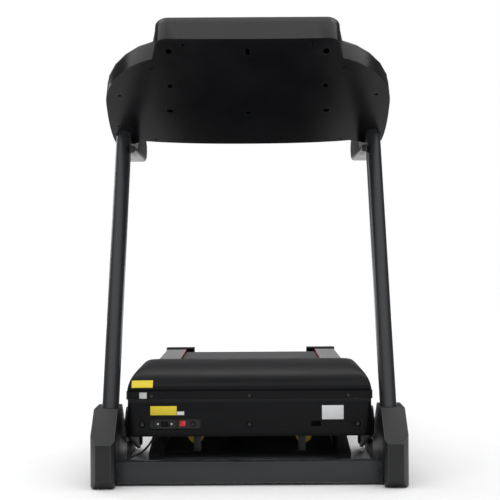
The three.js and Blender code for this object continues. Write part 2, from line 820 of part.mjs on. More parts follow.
const panelBack = HOOD_BACK - 5;
const panelPlan = new THREE.Shape();
panelPlan.moveTo(-hoodHalf, panelBack);
panelPlan.lineTo(-hoodHalf, HOOD_FRONT + 18);
panelPlan.quadraticCurveTo(-hoodHalf, HOOD_FRONT, -hoodHalf + 18, HOOD_FRONT);
panelPlan.lineTo(hoodHalf - 18, HOOD_FRONT);
panelPlan.quadraticCurveTo(hoodHalf, HOOD_FRONT, hoodHalf, HOOD_FRONT + 18);
panelPlan.lineTo(hoodHalf, panelBack);
const panelOuter = shapePoints(panelPlan, 4);
const panelInner = insetPoints(panelOuter, HOOD_WALL).map(([x, y]) => [
  x,
  y > panelBack - 10 ? panelBack + 10 : y,
]);
const panelLip = slab(
  polygon([
    [HOOD_FRONT, lipTop - 16],
    [HOOD_FRONT + 3, lipTop - 16],
    [HOOD_FRONT + 11.5, lipTop],
    [HOOD_FRONT + 8, lipTop],
  ]),
  "x",
  [-hoodHalf, hoodHalf],
).intersect(slab(polygon(panelOuter), "z", [PANEL_BOTTOM, lipTop]));
const panelSlope = polygon([
  [HOOD_FRONT - 5, PANEL_BOTTOM],
  [panelBack + 5, PANEL_BOTTOM],
  [panelBack + 5, lipTop],
  [HOOD_FRONT + 8, lipTop],
  [HOOD_FRONT, lipTop - 16],
  [HOOD_FRONT - 5, lipTop - 16],
]);
const inlet = { x: [-296, -213], z: [141, 171.5], depth: 12 };
const switches = { x: [-212.6, -142], z: inlet.z };
const inletWindow = block([inlet.x[0], switches.x[1]], [HOOD_FRONT - 5, HOOD_FRONT + 10], inlet.z);
const pinHole = rod([-hoodHalf - 1, hoodHalf + 1], deckPivot, PIVOT_PIN + 4, 16);
const ventSlot = block([180, 209], [HOOD_FRONT - 5, HOOD_FRONT + 10], [149, 165]);
const bracketBolts = [-315, 0, 317].map((x) =>
  rodAlongY([HOOD_FRONT - 5, HOOD_FRONT + 10], [x, 155], 9, 12),
);
place(
  "hood_panel",
  slab(polygon(panelOuter), "z", [PANEL_BOTTOM, lipTop])
    .subtract(slab(polygon(panelInner), "z", [0, lipTop + 50]))
    .intersect(slab(panelSlope, "x", [-hoodHalf - 1, hoodHalf + 1]))
    .add(panelLip)
    .subtract(inletWindow)
    .subtract(pinHole)
    .subtract(ventSlot)
    .subtract(union(bracketBolts)),
  MOULDED,
);

// The inlet's housing and the switch plate stand inside the window, set back from the panel.
const setBack = HOOD_FRONT + 6;
const inletMid = [(inlet.x[0] + inlet.x[1]) / 2 + 6, 157];
const inletBody = block(
  [inlet.x[0] + GAP, inlet.x[1] - GAP],
  [setBack, setBack + 32],
  [inlet.z[0] + GAP, inlet.z[1] - GAP],
)
  .subtract(
    block(
      [inletMid[0] - 11.5, inletMid[0] + 11.5],
      [setBack - 1, setBack + 22],
      [inletMid[1] - 8, inletMid[1] + 8],
    ),
  )
  .add(
    union(
      [-7, 0, 7].map((x) =>
        block([inletMid[0] + x - 1, inletMid[0] + x + 1], [setBack + 8, setBack + 23], [
          inletMid[1] - 2.5,
          inletMid[1] + 2.5,
        ]),
      ),
    ),
  );
place("power_inlet", inletBody, MOULDED);

const rocker = { x: [-205, -187], z: [149.5, 167.5] };
const breaker = { x: -166, z: 156.5, radius: 6 };
const rockerY = setBack + 4;
place(
  "switch_plate",
  block(
    [switches.x[0] + GAP, switches.x[1] - GAP],
    [setBack, setBack + 4],
    [switches.z[0] + GAP, switches.z[1] - GAP],
  )
    .subtract(
      block([rocker.x[0] - 1, rocker.x[1] + 1], [setBack - 1, setBack + 6], [
        rocker.z[0] - 1,
        rocker.z[1] + 1,
      ]),
    )
    .subtract(
      rodAlongY([setBack - 1, setBack + 6], [breaker.x, breaker.z], breaker.radius + 0.8, 16),
    ),
  MOULDED,
);
const rockerMid = (rocker.z[0] + rocker.z[1]) / 2;
place(
  "power_rocker",
  slab(
    polygon([
      [rockerY - 4, rocker.z[0] + 0.5],
      [rockerY - 6.5, rocker.z[0] + 0.5],
      [rockerY - 4.2, rockerMid],
      [rockerY - 4.2, rocker.z[1] - 0.5],
      [rockerY + 6, rockerMid + 5],
      [rockerY + 6, rockerMid - 5],
    ]),
    "x",
    rocker.x,
  ),
  SIGNAL_RED,
);
place(
  "breaker_button",
  rodAlongY([setBack - 6, setBack + 14], [breaker.x, breaker.z], breaker.radius, 16),
  MOULDED,
);

// ---- Console, in its own frame: x across, y up the back cover, z out of its face ----
const consoleGroup = new THREE.Group();
consoleGroup.position.set(0, CONSOLE_FRONT, CONSOLE_HEIGHT);
consoleGroup.rotation.x = Math.PI - CONSOLE_TILT;
assembly.add(consoleGroup);
consoleGroup.updateMatrix();
const intoConsole = consoleGroup.matrix.clone().invert();

const PLATE_LENGTH = 444;
const WING_DEPTH = 83;
const BOX_DEPTH = 96;
const COVER_SPLIT = 70;
const CONSOLE_WALL = 3;
const wingTop = PLATE_LENGTH - 83;
const boxHalf = 289;

// Half of the outline, from the middle of the lower edge to the middle of the top.
function halfOutline() {
  const path = new THREE.Path();
  path.moveTo(0, -5);
  path.quadraticCurveTo(consoleHalf - 240, -5, consoleHalf - 116, 3);
  path.quadraticCurveTo(consoleHalf - 88, -4, consoleHalf - 74, -22);
  path.quadraticCurveTo(consoleHalf - 24, -23, consoleHalf - 11, -14);
  path.quadraticCurveTo(consoleHalf - 1, 30, consoleHalf, 110);
  path.lineTo(consoleHalf, 165);
  path.bezierCurveTo(
    consoleHalf,
    255,
    boxHalf + 75,
    wingTop - 20,
    boxHalf,
    wingTop,
  );
  path.lineTo(boxHalf - 9, wingTop + 42);
  path.quadraticCurveTo(boxHalf - 13, PLATE_LENGTH, boxHalf - 50, PLATE_LENGTH);
  path.lineTo(0, PLATE_LENGTH);
  return path.getPoints(5);
}
const half = halfOutline().map((p) => [p.x, p.y]);
const mirrored = half
  .slice(1, -1)
  .reverse()
  .map(([x, y]) => [-x, y]);
const consoleOutline = [...half, ...mirrored];
const boxOutline = shapePoints(
  roundedRectangle(2 * boxHalf - 18, PLATE_LENGTH - 100, 40),
  3,
).map(([x, y]) => [x, y + 100 + (PLATE_LENGTH - 100) / 2]);

function uprightInConsole(grow, sign) {
  const geometry = new THREE.ExtrudeGeometry(uprightProfile(grow), {
    depth: uprightLength + 12,
    bevelEnabled: false,
  });
  const spot = uprightMatrix.clone().setPosition(
    sign * uprightMid,
    uprightY(UPRIGHT_FOOT),
    UPRIGHT_FOOT,
  );
  return solid(geometry, intoConsole.clone().multiply(spot));
}

// Screw holes in the back cover: [x, y, radius], each with its mirror image.
const SCREW_HOLES = [
  [236, 392, 8],
  [193, 418, 5],
  [293, 322, 5],
  [240, 249, 7],
  [400, 202, 5],
  [246, 140, 9],
  [415, 62, 5],
];
const screwCuts = SCREW_HOLES.flatMap(([x, y, r]) =>
  [x, -x].map((side) => rodAlongZ([-6, 5], [side, y], r, 8)),
);
const centreCuts = [
  block([-8, 8], [378, 408], [-6, 5]),
  rodAlongZ([-6, 5], [0, 134], 7, 8),
];
const backCover = slab(polygon(consoleOutline), "z", [-COVER_SPLIT, 0])
  .subtract(
    slab(polygon(insetPoints(consoleOutline, CONSOLE_WALL)), "z", [
      -COVER_SPLIT - 5,
      -CONSOLE_WALL,
    ]),
  )
  .subtract(uprightInConsole(1.5, 1))
  .subtract(uprightInConsole(1.5, -1))
  .subtract(union([...screwCuts, ...centreCuts]));
place("console_back_cover", backCover, MOULDED, consoleGroup);

const display = { x: [-190, 190], y: [300, 415] };
const keys = [
  { name: "start_key", x: -60, y: 215, finish: START_GREEN },
  { name: "stop_key", x: 60, y: 215, finish: SIGNAL_RED },
  { name: "speed_up_key", x: 180, y: 225, finish: KEY_GREY },
  { name: "speed_down_key", x: 180, y: 195, finish: KEY_GREY },
  { name: "incline_up_key", x: -180, y: 225, finish: KEY_GREY },
  { name: "incline_down_key", x: -180, y: 195, finish: KEY_GREY },
];
const KEY_SIZE = [44, 18];
const KEY_PROUD = 2;
const faceZ = -BOX_DEPTH;
const lidTop = -COVER_SPLIT - GAP;
const keyHoles = keys.map(({ x, y }) =>
  block(
    [x - KEY_SIZE[0] / 2 - GAP, x + KEY_SIZE[0] / 2 + GAP],
    [y - KEY_SIZE[1] / 2 - GAP, y + KEY_SIZE[1] / 2 + GAP],
    [faceZ - 1, faceZ + 5],
  ),
);
const frontCover = slab(polygon(consoleOutline), "z", [-WING_DEPTH, lidTop])
  .add(slab(polygon(boxOutline), "z", [faceZ, lidTop]))
  .subtract(
    slab(polygon(insetPoints(consoleOutline, CONSOLE_WALL)), "z", [
      -WING_DEPTH + CONSOLE_WALL,
      lidTop + 5,
    ]),
  )
  .subtract(
    slab(polygon(insetPoints(boxOutline, CONSOLE_WALL)), "z", [
      faceZ + CONSOLE_WALL,
      lidTop + 5,
    ]),
  )
  .subtract(block(display.x, display.y, [faceZ - 1, faceZ + 5]))
  .subtract(union(keyHoles));
place("console_front_cover", frontCover, MOULDED, consoleGroup);

place(
  "display_window",
  block(
    [display.x[0] + GAP, display.x[1] - GAP],
    [display.y[0] + GAP, display.y[1] - GAP],
    [faceZ, faceZ + 3],
  ),
  GLOSS,
  consoleGroup,
);
place(
  "console_board",
  block([-215, 215], [170, 290], [faceZ + 14, faceZ + 15.6]).add(
    block([-60, 60], [230, 270], [faceZ + 15, faceZ + 22]),
  ),
  CIRCUIT_GREEN,
  consoleGroup,
);
for (const { name, x, y, finish } of keys) {
  const [w, h] = [KEY_SIZE[0] / 2, KEY_SIZE[1] / 2];
  const cap = block([x - w, x + w], [y - h, y + h], [faceZ - KEY_PROUD, faceZ + 5]);
  const flange = block([x - w - 2, x + w + 2], [y - h - 2, y + h + 2], [
    faceZ + CONSOLE_WALL + GAP,
    faceZ + CONSOLE_WALL + 2.5,
  ]);
  place(name, cap.add(flange), finish, consoleGroup);
}
place(
  "safety_key",
  rodAlongZ([faceZ - 9, faceZ - GAP], [0, 165], 19, 24).add(
    block([-4, 4], [152, 178], [faceZ - 18, faceZ - 8]),
  ),
  SIGNAL_RED,
  consoleGroup,
);

// ---- Handrail arms: level grips behind the uprights, with a tongue on their inner side ----
const GRIP = { bottom: CONSOLE_HEIGHT - 38, width: 64, bevel: 9 };
const gripSide = [
  [CONSOLE_FRONT - 65, GRIP.bottom],
  [CONSOLE_FRONT + 330, GRIP.bottom],
  [CONSOLE_FRONT + 358, GRIP.bottom + 12],
  [CONSOLE_FRONT + 371, GRIP.bottom + 38],
  [CONSOLE_FRONT + 366, GRIP.bottom + 62],
  [CONSOLE_FRONT + 343, GRIP.bottom + 80],
  [CONSOLE_FRONT + 112, GRIP.bottom + 82],
  [CONSOLE_FRONT + 40, GRIP.bottom + 23],
  [CONSOLE_FRONT - 65, GRIP.bottom + 23],
];
const gripGeometry = new THREE.ExtrudeGeometry(polygon(gripSide), {
  depth: GRIP.width - 2 * GRIP.bevel,
  bevelThickness: GRIP.bevel,
  bevelSize: GRIP.bevel,
  bevelOffset: -GRIP.bevel,
  bevelSegments: 2,
});
const gripMatrix = new THREE.Matrix4()
  .makeBasis(Y, Z, X)
  .setPosition(armIn + GRIP.bevel, 0, 0);
const aheadOfUpright = block(
  [uprightIn - uprightMid - 1.5, 200],
  [-300, 0],
  [-100, uprightLength + 200],
  uprightMatrix,
);
const handrail = solid(gripGeometry, gripMatrix)
  .subtract(uprightBar(1, [0, uprightLength + 200]))
  .subtract(aheadOfUpright);
placePair("handrail", handrail, MOULDED);

// ---- Signal cable from the motor bay to the left upright's foot ----
const CABLE_RADIUS = 3;
const CABLE_ROUTE = [
  [-285, 268, 117],
  [-291, 240, 100],
  [-306, 200, 82],
  [-324, 160, 73],
  [-343, 124, 70],
  [-358, 112, 64],
  [-374, 108, 60],
];
const cablePath = new THREE.CatmullRomCurve3(
  CABLE_ROUTE.map((p) => new THREE.Vector3(...p)),
);
const cableSection = new THREE.Shape();
cableSection.absarc(0, 0, CABLE_RADIUS, 0, 2 * Math.PI);
place(
  "signal_cable",
  solid(
    new THREE.ExtrudeGeometry(cableSection, {
      extrudePath: cablePath,
      steps: 18,
      curveSegments: 4,
    }),
  ),
  RUBBER,
);

export default treadmill;
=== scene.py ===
# %% [markdown]
# A folding motorised treadmill, seen from its motor end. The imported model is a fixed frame:
# every piece made here lies where that frame says, and rides on one of its bodies.
# We start by loading it and by keeping its box, which the finished machine must not outgrow.

import json
import math

import bmesh
import bpy
from mathutils import Matrix, Vector

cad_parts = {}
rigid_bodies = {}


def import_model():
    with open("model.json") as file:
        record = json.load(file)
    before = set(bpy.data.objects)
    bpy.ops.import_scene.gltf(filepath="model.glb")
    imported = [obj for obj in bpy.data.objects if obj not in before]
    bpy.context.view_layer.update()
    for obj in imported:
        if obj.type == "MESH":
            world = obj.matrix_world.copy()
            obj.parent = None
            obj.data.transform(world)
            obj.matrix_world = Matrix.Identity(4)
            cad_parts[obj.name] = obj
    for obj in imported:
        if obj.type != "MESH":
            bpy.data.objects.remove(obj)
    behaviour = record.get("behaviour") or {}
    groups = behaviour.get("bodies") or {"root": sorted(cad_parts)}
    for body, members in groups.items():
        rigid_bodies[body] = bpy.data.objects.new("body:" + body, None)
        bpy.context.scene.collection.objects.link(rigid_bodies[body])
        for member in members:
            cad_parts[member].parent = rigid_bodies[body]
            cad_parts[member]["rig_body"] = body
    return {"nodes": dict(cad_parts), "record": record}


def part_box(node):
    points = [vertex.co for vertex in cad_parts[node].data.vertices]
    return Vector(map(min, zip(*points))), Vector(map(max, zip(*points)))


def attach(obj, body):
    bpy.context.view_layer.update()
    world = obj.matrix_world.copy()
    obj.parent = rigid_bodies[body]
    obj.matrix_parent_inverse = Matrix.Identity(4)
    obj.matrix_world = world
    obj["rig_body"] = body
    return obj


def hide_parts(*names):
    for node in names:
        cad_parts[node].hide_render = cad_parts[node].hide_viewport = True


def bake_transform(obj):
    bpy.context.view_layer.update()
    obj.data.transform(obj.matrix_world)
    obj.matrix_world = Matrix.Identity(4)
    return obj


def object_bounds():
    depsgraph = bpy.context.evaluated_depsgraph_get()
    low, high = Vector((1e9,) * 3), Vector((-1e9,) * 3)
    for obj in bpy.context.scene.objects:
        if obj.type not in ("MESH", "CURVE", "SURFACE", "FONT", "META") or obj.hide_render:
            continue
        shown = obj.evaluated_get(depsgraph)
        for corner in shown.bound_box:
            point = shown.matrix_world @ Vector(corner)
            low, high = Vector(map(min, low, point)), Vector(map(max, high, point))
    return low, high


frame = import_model()
cad_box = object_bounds()
MM = 0.001
BODY_OF = {n: o["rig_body"] for n, o in frame["nodes"].items()}

# %% [markdown]
# Heights are above the floor, and depths are counted from the front of the base covers, as
# a workshop drawing would give them. One helper turns such millimetres into a place in the scene.


# %% A place in the machine, in millimetres
def at(x, depth, z):
    return Vector((x * MM, cad_box[0].y + depth * MM, z * MM))


print("front of the base covers at", tuple(round(v, 3) for v in at(0, 0, 0)))

# %% [markdown]
# The camera stands level in front of the motor end, a little right of centre, with a long lens.
# Its far point lies just off the middle of the picture, which the small shift gives, and it
# leans by a third of a degree. It comes first because everything visible is judged through it.

# %% Camera
CAMERA_PLACE = Vector((0.013, -4.176, 0.668))
camera_data = bpy.data.cameras.new("camera")
camera_data.lens = 85.7
camera_data.sensor_width = 36
camera_data.shift_x = -0.006
camera_data.shift_y = -0.002
camera = bpy.data.objects.new("camera", camera_data)
bpy.context.scene.collection.objects.link(camera)
camera.matrix_world = (
    Matrix.Translation(CAMERA_PLACE)
    @ Matrix.Rotation(math.radians(90), 4, "X")
    @ Matrix.Rotation(math.radians(-0.33), 4, "Z")
)
bpy.context.scene.camera = camera
bpy.context.scene.view_settings.view_transform = "Standard"
print("camera at", tuple(CAMERA_PLACE))

# %% [markdown]
# Effects that several finishes share are node groups. The first is the fine grain of moulded
# plastic or powder paint: small bumps for the light to catch, and slow blotches of tone such as
# handling leaves. Both read Object coordinates, so the grain stays on the piece as it moves.


# %% A group for grain and blotches
def add_socket(tree, name, direction, default=None, kind="NodeSocketFloat"):
    socket = tree.interface.new_socket(name=name, in_out=direction, socket_type=kind)
    if default is not None:
        socket.default_value = default


def grain_group():
    tree = bpy.data.node_groups.new("surface grain", "ShaderNodeTree")
    add_socket(tree, "Scale", "INPUT", 900.0)
    add_socket(tree, "Height", "OUTPUT")
    add_socket(tree, "Blotch", "OUTPUT")
    new, link = tree.nodes.new, tree.links.new
    entry, leave = new("NodeGroupInput"), new("NodeGroupOutput")
    place = new("ShaderNodeTexCoord")
    fine, slow = new("ShaderNodeTexNoise"), new("ShaderNodeTexNoise")
    pits = new("ShaderNodeTexVoronoi")
    both = new("ShaderNodeMath")
    fine.inputs["Detail"].default_value = 3.0
    slow.inputs["Scale"].default_value = 7.0
    slow.inputs["Detail"].default_value = 5.0
    slow.inputs["Roughness"].default_value = 0.62
    for texture in (fine, slow, pits):
        link(place.outputs["Object"], texture.inputs["Vector"])
    link(entry.outputs["Scale"], fine.inputs["Scale"])
    link(entry.outputs["Scale"], pits.inputs["Scale"])
    link(fine.outputs["Fac"], both.inputs[0])
    link(pits.outputs["Distance"], both.inputs[1])
    link(both.outputs["Value"], leave.inputs["Height"])
    link(slow.outputs["Fac"], leave.inputs["Blotch"])
    return tree


GRAIN = grain_group()
print("group:", GRAIN.name)

# %% [markdown]
# The second group finds edges, where hands and shoes rub a finish thin. A rounded normal differs
# from the true one only beside an edge, so their difference makes a mask, and a noise breaks it up.
# The lighter colour that this mask lays on edges is partly rub wear and partly a painted highlight.


# %% A group for worn edges and painted edge highlights
def edge_group():
    tree = bpy.data.node_groups.new("edge rub and highlight", "ShaderNodeTree")
    add_socket(tree, "Reach", "INPUT", 0.0015)
    add_socket(tree, "Edge", "OUTPUT")
    new, link = tree.nodes.new, tree.links.new
    entry, leave = new("NodeGroupInput"), new("NodeGroupOutput")
    rounded, true = new("ShaderNodeBevel"), new("ShaderNodeNewGeometry")
    rounded.samples = 4
    likeness = new("ShaderNodeVectorMath")
    likeness.operation = "DOT_PRODUCT"
    spread = new("ShaderNodeMapRange")
    spread.inputs["From Min"].default_value = 0.995
    spread.inputs["From Max"].default_value = 0.86
    place, noise = new("ShaderNodeTexCoord"), new("ShaderNodeTexNoise")
    noise.inputs["Scale"].default_value = 45.0
    patchy = new("ShaderNodeMath")
    patchy.operation = "MULTIPLY"
    link(entry.outputs["Reach"], rounded.inputs["Radius"])
    link(rounded.outputs["Normal"], likeness.inputs[0])
    link(true.outputs["Normal"], likeness.inputs[1])
    link(likeness.outputs["Value"], spread.inputs["Value"])
    link(place.outputs["Object"], noise.inputs["Vector"])
    link(spread.outputs["Result"], patchy.inputs[0])
    link(noise.outputs["Fac"], patchy.inputs[1])
    link(patchy.outputs["Value"], leave.inputs["Edge"])
    return tree


EDGE = edge_group()
print("group:", EDGE.name)

# %% [markdown]
# Nearly every finish is the same recipe with its own values: a colour that drifts between two
# tones, a sheen that drifts with it, grain in the normal, and a lighter colour along the edges,
# partly rub wear and partly a painted highlight.


# %% The recipe for a finish
def finish(
    name,
    dark,
    light,
    rough,
    metallic=0.0,
    scale=900.0,
    bump=0.08,
    rub_and_highlight_colour=None,
    rub_and_highlight_share=0.6,
    reach=0.0015,
    specular=0.5,
    coat=0.0,
):
    material = bpy.data.materials.new(name)
    material.use_nodes = True
    tree = material.node_tree
    new, link = tree.nodes.new, tree.links.new
    shader = tree.nodes["Principled BSDF"]
    grain = new("ShaderNodeGroup")
    grain.node_tree = GRAIN
    grain.inputs["Scale"].default_value = scale
    tone = new("ShaderNodeMix")
    tone.data_type = "RGBA"
    tone.inputs["A"].default_value = (*dark, 1)
    tone.inputs["B"].default_value = (*light, 1)
    link(grain.outputs["Blotch"], tone.inputs["Factor"])
    colour = tone.outputs["Result"]
    if rub_and_highlight_colour is not None:
        edge = new("ShaderNodeGroup")
        edge.node_tree = EDGE
        edge.inputs["Reach"].default_value = reach
        amount = new("ShaderNodeMath")
        amount.operation = "MULTIPLY"
        amount.use_clamp = True
        amount.inputs[1].default_value = rub_and_highlight_share
        rub_and_highlight_mix = new("ShaderNodeMix")
        rub_and_highlight_mix.data_type = "RGBA"
        rub_and_highlight_mix.inputs["B"].default_value = (*rub_and_highlight_colour, 1)
        link(edge.outputs["Edge"], amount.inputs[0])
        link(amount.outputs["Value"], rub_and_highlight_mix.inputs["Factor"])
        link(colour, rub_and_highlight_mix.inputs["A"])
        colour = rub_and_highlight_mix.outputs["Result"]
    link(colour, shader.inputs["Base Color"])
    sheen = new("ShaderNodeMapRange")
    sheen.inputs["From Min"].default_value = 0.3
    sheen.inputs["From Max"].default_value = 0.7
    sheen.inputs["To Min"].default_value = rough - 0.05
    sheen.inputs["To Max"].default_value = rough + 0.05
    link(grain.outputs["Blotch"], sheen.inputs["Value"])
    link(sheen.outputs["Result"], shader.inputs["Roughness"])
    height = new("ShaderNodeBump")
    height.inputs["Strength"].default_value = bump
    height.inputs["Distance"].default_value = 0.0006
    link(grain.outputs["Height"], height.inputs["Height"])
    link(height.outputs["Normal"], shader.inputs["Normal"])
    shader.inputs["Metallic"].default_value = metallic
    shader.inputs["Specular IOR Level"].default_value = specular
    shader.inputs["Coat Weight"].default_value = coat
    return material


# %% [markdown]
# The machine is black all over, but not one black. The console and hood are grained plastic, the
# tubes are powder paint with a soft satin sheen, the feet are dull rubber, and the foot rails are
# a light grey. Black parts get their shape from what they reflect, so the sheen matters most.

# %% Finishes
FINISHES = {
    "powder_coat": finish("powder_coat", (0.014, 0.0155, 0.018), (0.026, 0.028, 0.032), 0.36,
                          metallic=0.2, scale=1400, bump=0.12, rub_and_highlight_colour=(0.09, 0.092, 0.1)),
    "moulded_black": finish("moulded_black", (0.004, 0.0043, 0.005), (0.0085, 0.0088, 0.01),
                            0.34, scale=1100, bump=0.14, rub_and_highlight_colour=(0.05, 0.052, 0.056),
                            specular=0.35),
    # The cover's light edge colour is a painted highlight along its rounded edges, with some rub wear.
    "cover_black": finish("cover_black", (0.004, 0.0043, 0.005), (0.009, 0.0094, 0.0105), 0.32,
                          specular=0.38, scale=800, bump=0.1, rub_and_highlight_colour=(0.2, 0.21, 0.225), rub_and_highlight_share=1.0, reach=0.003),
    # The console's light edge colour is a painted highlight along its rounded rim, with some rub wear.
    "console_black": finish("console_black", (0.003, 0.0033, 0.0038), (0.006, 0.0062, 0.007),
                            0.22, scale=1100, bump=0.05, rub_and_highlight_colour=(0.13, 0.14, 0.155),
                            rub_and_highlight_share=0.45, reach=0.0025, specular=0.28),
    "hood_black": finish("hood_black", (0.0035, 0.0038, 0.0044), (0.0075, 0.0078, 0.009), 0.36,
                         scale=1100, bump=0.12, rub_and_highlight_colour=(0.06, 0.064, 0.07), specular=0.12),
    "frame_black": finish("frame_black", (0.004, 0.0042, 0.0046), (0.008, 0.0083, 0.009), 0.5,
                          scale=1200, bump=0.12, rub_and_highlight_colour=(0.05, 0.052, 0.056), specular=0.2),
    "display_gloss": finish("display_gloss", (0.004, 0.005, 0.007), (0.007, 0.008, 0.011), 0.12,
                            scale=300, bump=0.01, coat=0.5),
    "black_rubber": finish("black_rubber", (0.008, 0.008, 0.008), (0.02, 0.02, 0.02), 0.8,
                           scale=500, bump=0.3, specular=0.3),
    "bright_zinc": finish("bright_zinc", (0.42, 0.43, 0.44), (0.62, 0.63, 0.65), 0.3,
                          metallic=1.0, scale=700, bump=0.06),
    "foot_rail": finish("foot_rail", (0.2, 0.2, 0.202), (0.25, 0.25, 0.252), 0.55,
                        scale=600, bump=0.25, rub_and_highlight_colour=(0.26, 0.26, 0.27), specular=0.25),
    "board_coat": finish("board_coat", (0.02, 0.014, 0.01), (0.045, 0.034, 0.024), 0.5,
                         scale=120, bump=0.1),
    "signal_red": finish("signal_red", (0.55, 0.012, 0.01), (0.75, 0.02, 0.016), 0.25,
                         scale=500, bump=0.03, coat=0.3),
    "buffer_yellow": finish("buffer_yellow", (0.62, 0.40, 0.01), (0.8, 0.55, 0.02), 0.45,
                            scale=400, bump=0.08),
    "circuit_green": finish("circuit_green", (0.01, 0.07, 0.03), (0.02, 0.13, 0.05), 0.35,
                            scale=250, bump=0.1),
    "cast_aluminium": finish("cast_aluminium", (0.26, 0.26, 0.27), (0.42, 0.42, 0.43), 0.45,
                             metallic=1.0, scale=260, bump=0.2),
    "key_grey": finish("key_grey", (0.22, 0.23, 0.24), (0.3, 0.31, 0.32), 0.5,
                       scale=900, bump=0.08),
    "start_green": finish("start_green", (0.01, 0.24, 0.07), (0.02, 0.34, 0.1), 0.4,
                          scale=900, bump=0.06),
}
print(len(FINISHES), "finishes")

# %% [markdown]
# The running belt is a two-ply woven belt with a pebbled top. Two crossed waves give the
# ply's threads and a fine noise gives the pebbles, all on Object coordinates: the belt lies
# along the machine, so across and along are the object's own axes.


# %% The belt's finish
def belt_finish():
    material = finish("belt_weave", (0.028, 0.028, 0.03), (0.05, 0.05, 0.053), 0.62,
                      scale=700, bump=0.2)
    tree = material.node_tree
    new, link = tree.nodes.new, tree.links.new
    place = new("ShaderNodeTexCoord")
    across, along = new("ShaderNodeTexWave"), new("ShaderNodeTexWave")
    along.bands_direction = "Y"
    threads = new("ShaderNodeMath")
    threads.operation = "MULTIPLY"
    for wave, socket in ((across, 0), (along, 1)):
        wave.inputs["Scale"].default_value = 130.0
        link(place.outputs["Object"], wave.inputs["Vector"])
        link(wave.outputs["Fac"], threads.inputs[socket])
    ply = new("ShaderNodeBump")
    ply.inputs["Strength"].default_value = 0.35
    ply.inputs["Distance"].default_value = 0.0008
    pebbles = next(n for n in tree.nodes if n.bl_idname == "ShaderNodeBump")
    link(threads.outputs["Value"], ply.inputs["Height"])
    link(ply.outputs["Normal"], pebbles.inputs["Normal"])
    return material


FINISHES["belt_weave"] = belt_finish()
print("belt finish:", FINISHES["belt_weave"].name)

# %% [markdown]
# Three helpers carry the modelling. The first makes an object of a finished mesh, with a finish,
# a body to ride on and the nodes it stands for. Faces are smooth except across real corners.


# %% Helper: a finished piece
def piece(name, mesh, body, finish_name, stands_for=(), smooth=32.0):
    if isinstance(mesh, bmesh.types.BMesh):
        made = bpy.data.meshes.new(name)
        mesh.to_mesh(made)
        mesh.free()
        mesh = made
    mesh.name = name
    mesh.polygons.foreach_set("use_smooth", [True] * len(mesh.polygons))
    mesh.set_sharp_from_angle(angle=math.radians(smooth))
    obj = bpy.data.objects.new(name, mesh)
    bpy.context.scene.collection.objects.link(obj)
    mesh.materials.clear()
    mesh.materials.append(FINISHES[finish_name])
    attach(obj, body)
    if stands_for:
        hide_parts(*stands_for)
    return obj


# %% [markdown]
# The second takes a copy of a node's own mesh and rounds its corners. A real moulding or folded
# plate has no knife edges, and the light along a rounded corner is what says "plastic" or "steel".
# The copy's loose triangles are merged and its flat faces joined first, so that only real
# corners are left for the bevel.


# %% Helper: a node's shape with rounded corners
REAL_CORNER = math.radians(28)  # a sharper turn between two faces is a real corner


def softened(node, width, segments):
    bm = bmesh.new()
    bm.from_mesh(frame["nodes"][node].data)
    bmesh.ops.remove_doubles(bm, verts=bm.verts, dist=1e-5)
    bmesh.ops.dissolve_limit(
        bm, angle_limit=math.radians(0.5), verts=bm.verts, edges=bm.edges
    )
    corners = [
        e
        for e in bm.edges
        if e.is_manifold and e.calc_face_angle(0) > REAL_CORNER
    ]
    bmesh.ops.bevel(
        bm,
        geom=corners,
        offset=width * MM,
        offset_type="OFFSET",
        affect="EDGES",
        segments=segments,
        profile=0.5,
        material=-1,
        clamp_overlap=True,
    )
    bmesh.ops.remove_doubles(bm, verts=bm.verts, dist=1e-6)
    return bm


# %% [markdown]
# The third turns a profile about an axis, as a lathe would: bolts, buffers, rollers and wheels
# are all turned shapes. The profile is a short chain of points, and a full spin closes it.


# %% Helper: a turned shape
def turned(profile, matrix, steps=32):
    bm = bmesh.new()
    verts = [bm.verts.new((r * MM, 0, z * MM)) for r, z in profile]
    edges = [bm.edges.new(pair) for pair in zip(verts, verts[1:])]
    bmesh.ops.spin(
        bm,
        geom=verts + edges,
        cent=(0, 0, 0),
        axis=(0, 0, 1),
        dvec=(0, 0, 0),
        angle=2 * math.pi,
        steps=steps,
        use_merge=True,
        use_duplicate=False,
    )
    bmesh.ops.remove_doubles(bm, verts=bm.verts, dist=1e-6)
    bmesh.ops.recalc_face_normals(bm, faces=bm.faces)
    bmesh.ops.transform(bm, matrix=matrix, verts=bm.verts)
    return bm


def pointing(place, direction):
    turn = Vector(direction).to_track_quat("Z", "Y").to_matrix().to_4x4()
    return Matrix.Translation(place) @ turn


def joined(parts):
    whole = bmesh.new()
    for part in parts:
        mesh = bpy.data.meshes.new("part")
        part.to_mesh(mesh)
        part.free()
        whole.from_mesh(mesh)
        bpy.data.meshes.remove(mesh)
    return whole


# %% [markdown]
# Where nothing but its corners needs work, a node is kept as it is and softened. The table gives
# each one's corner width and its finish. Pieces that need more are made one by one further down.

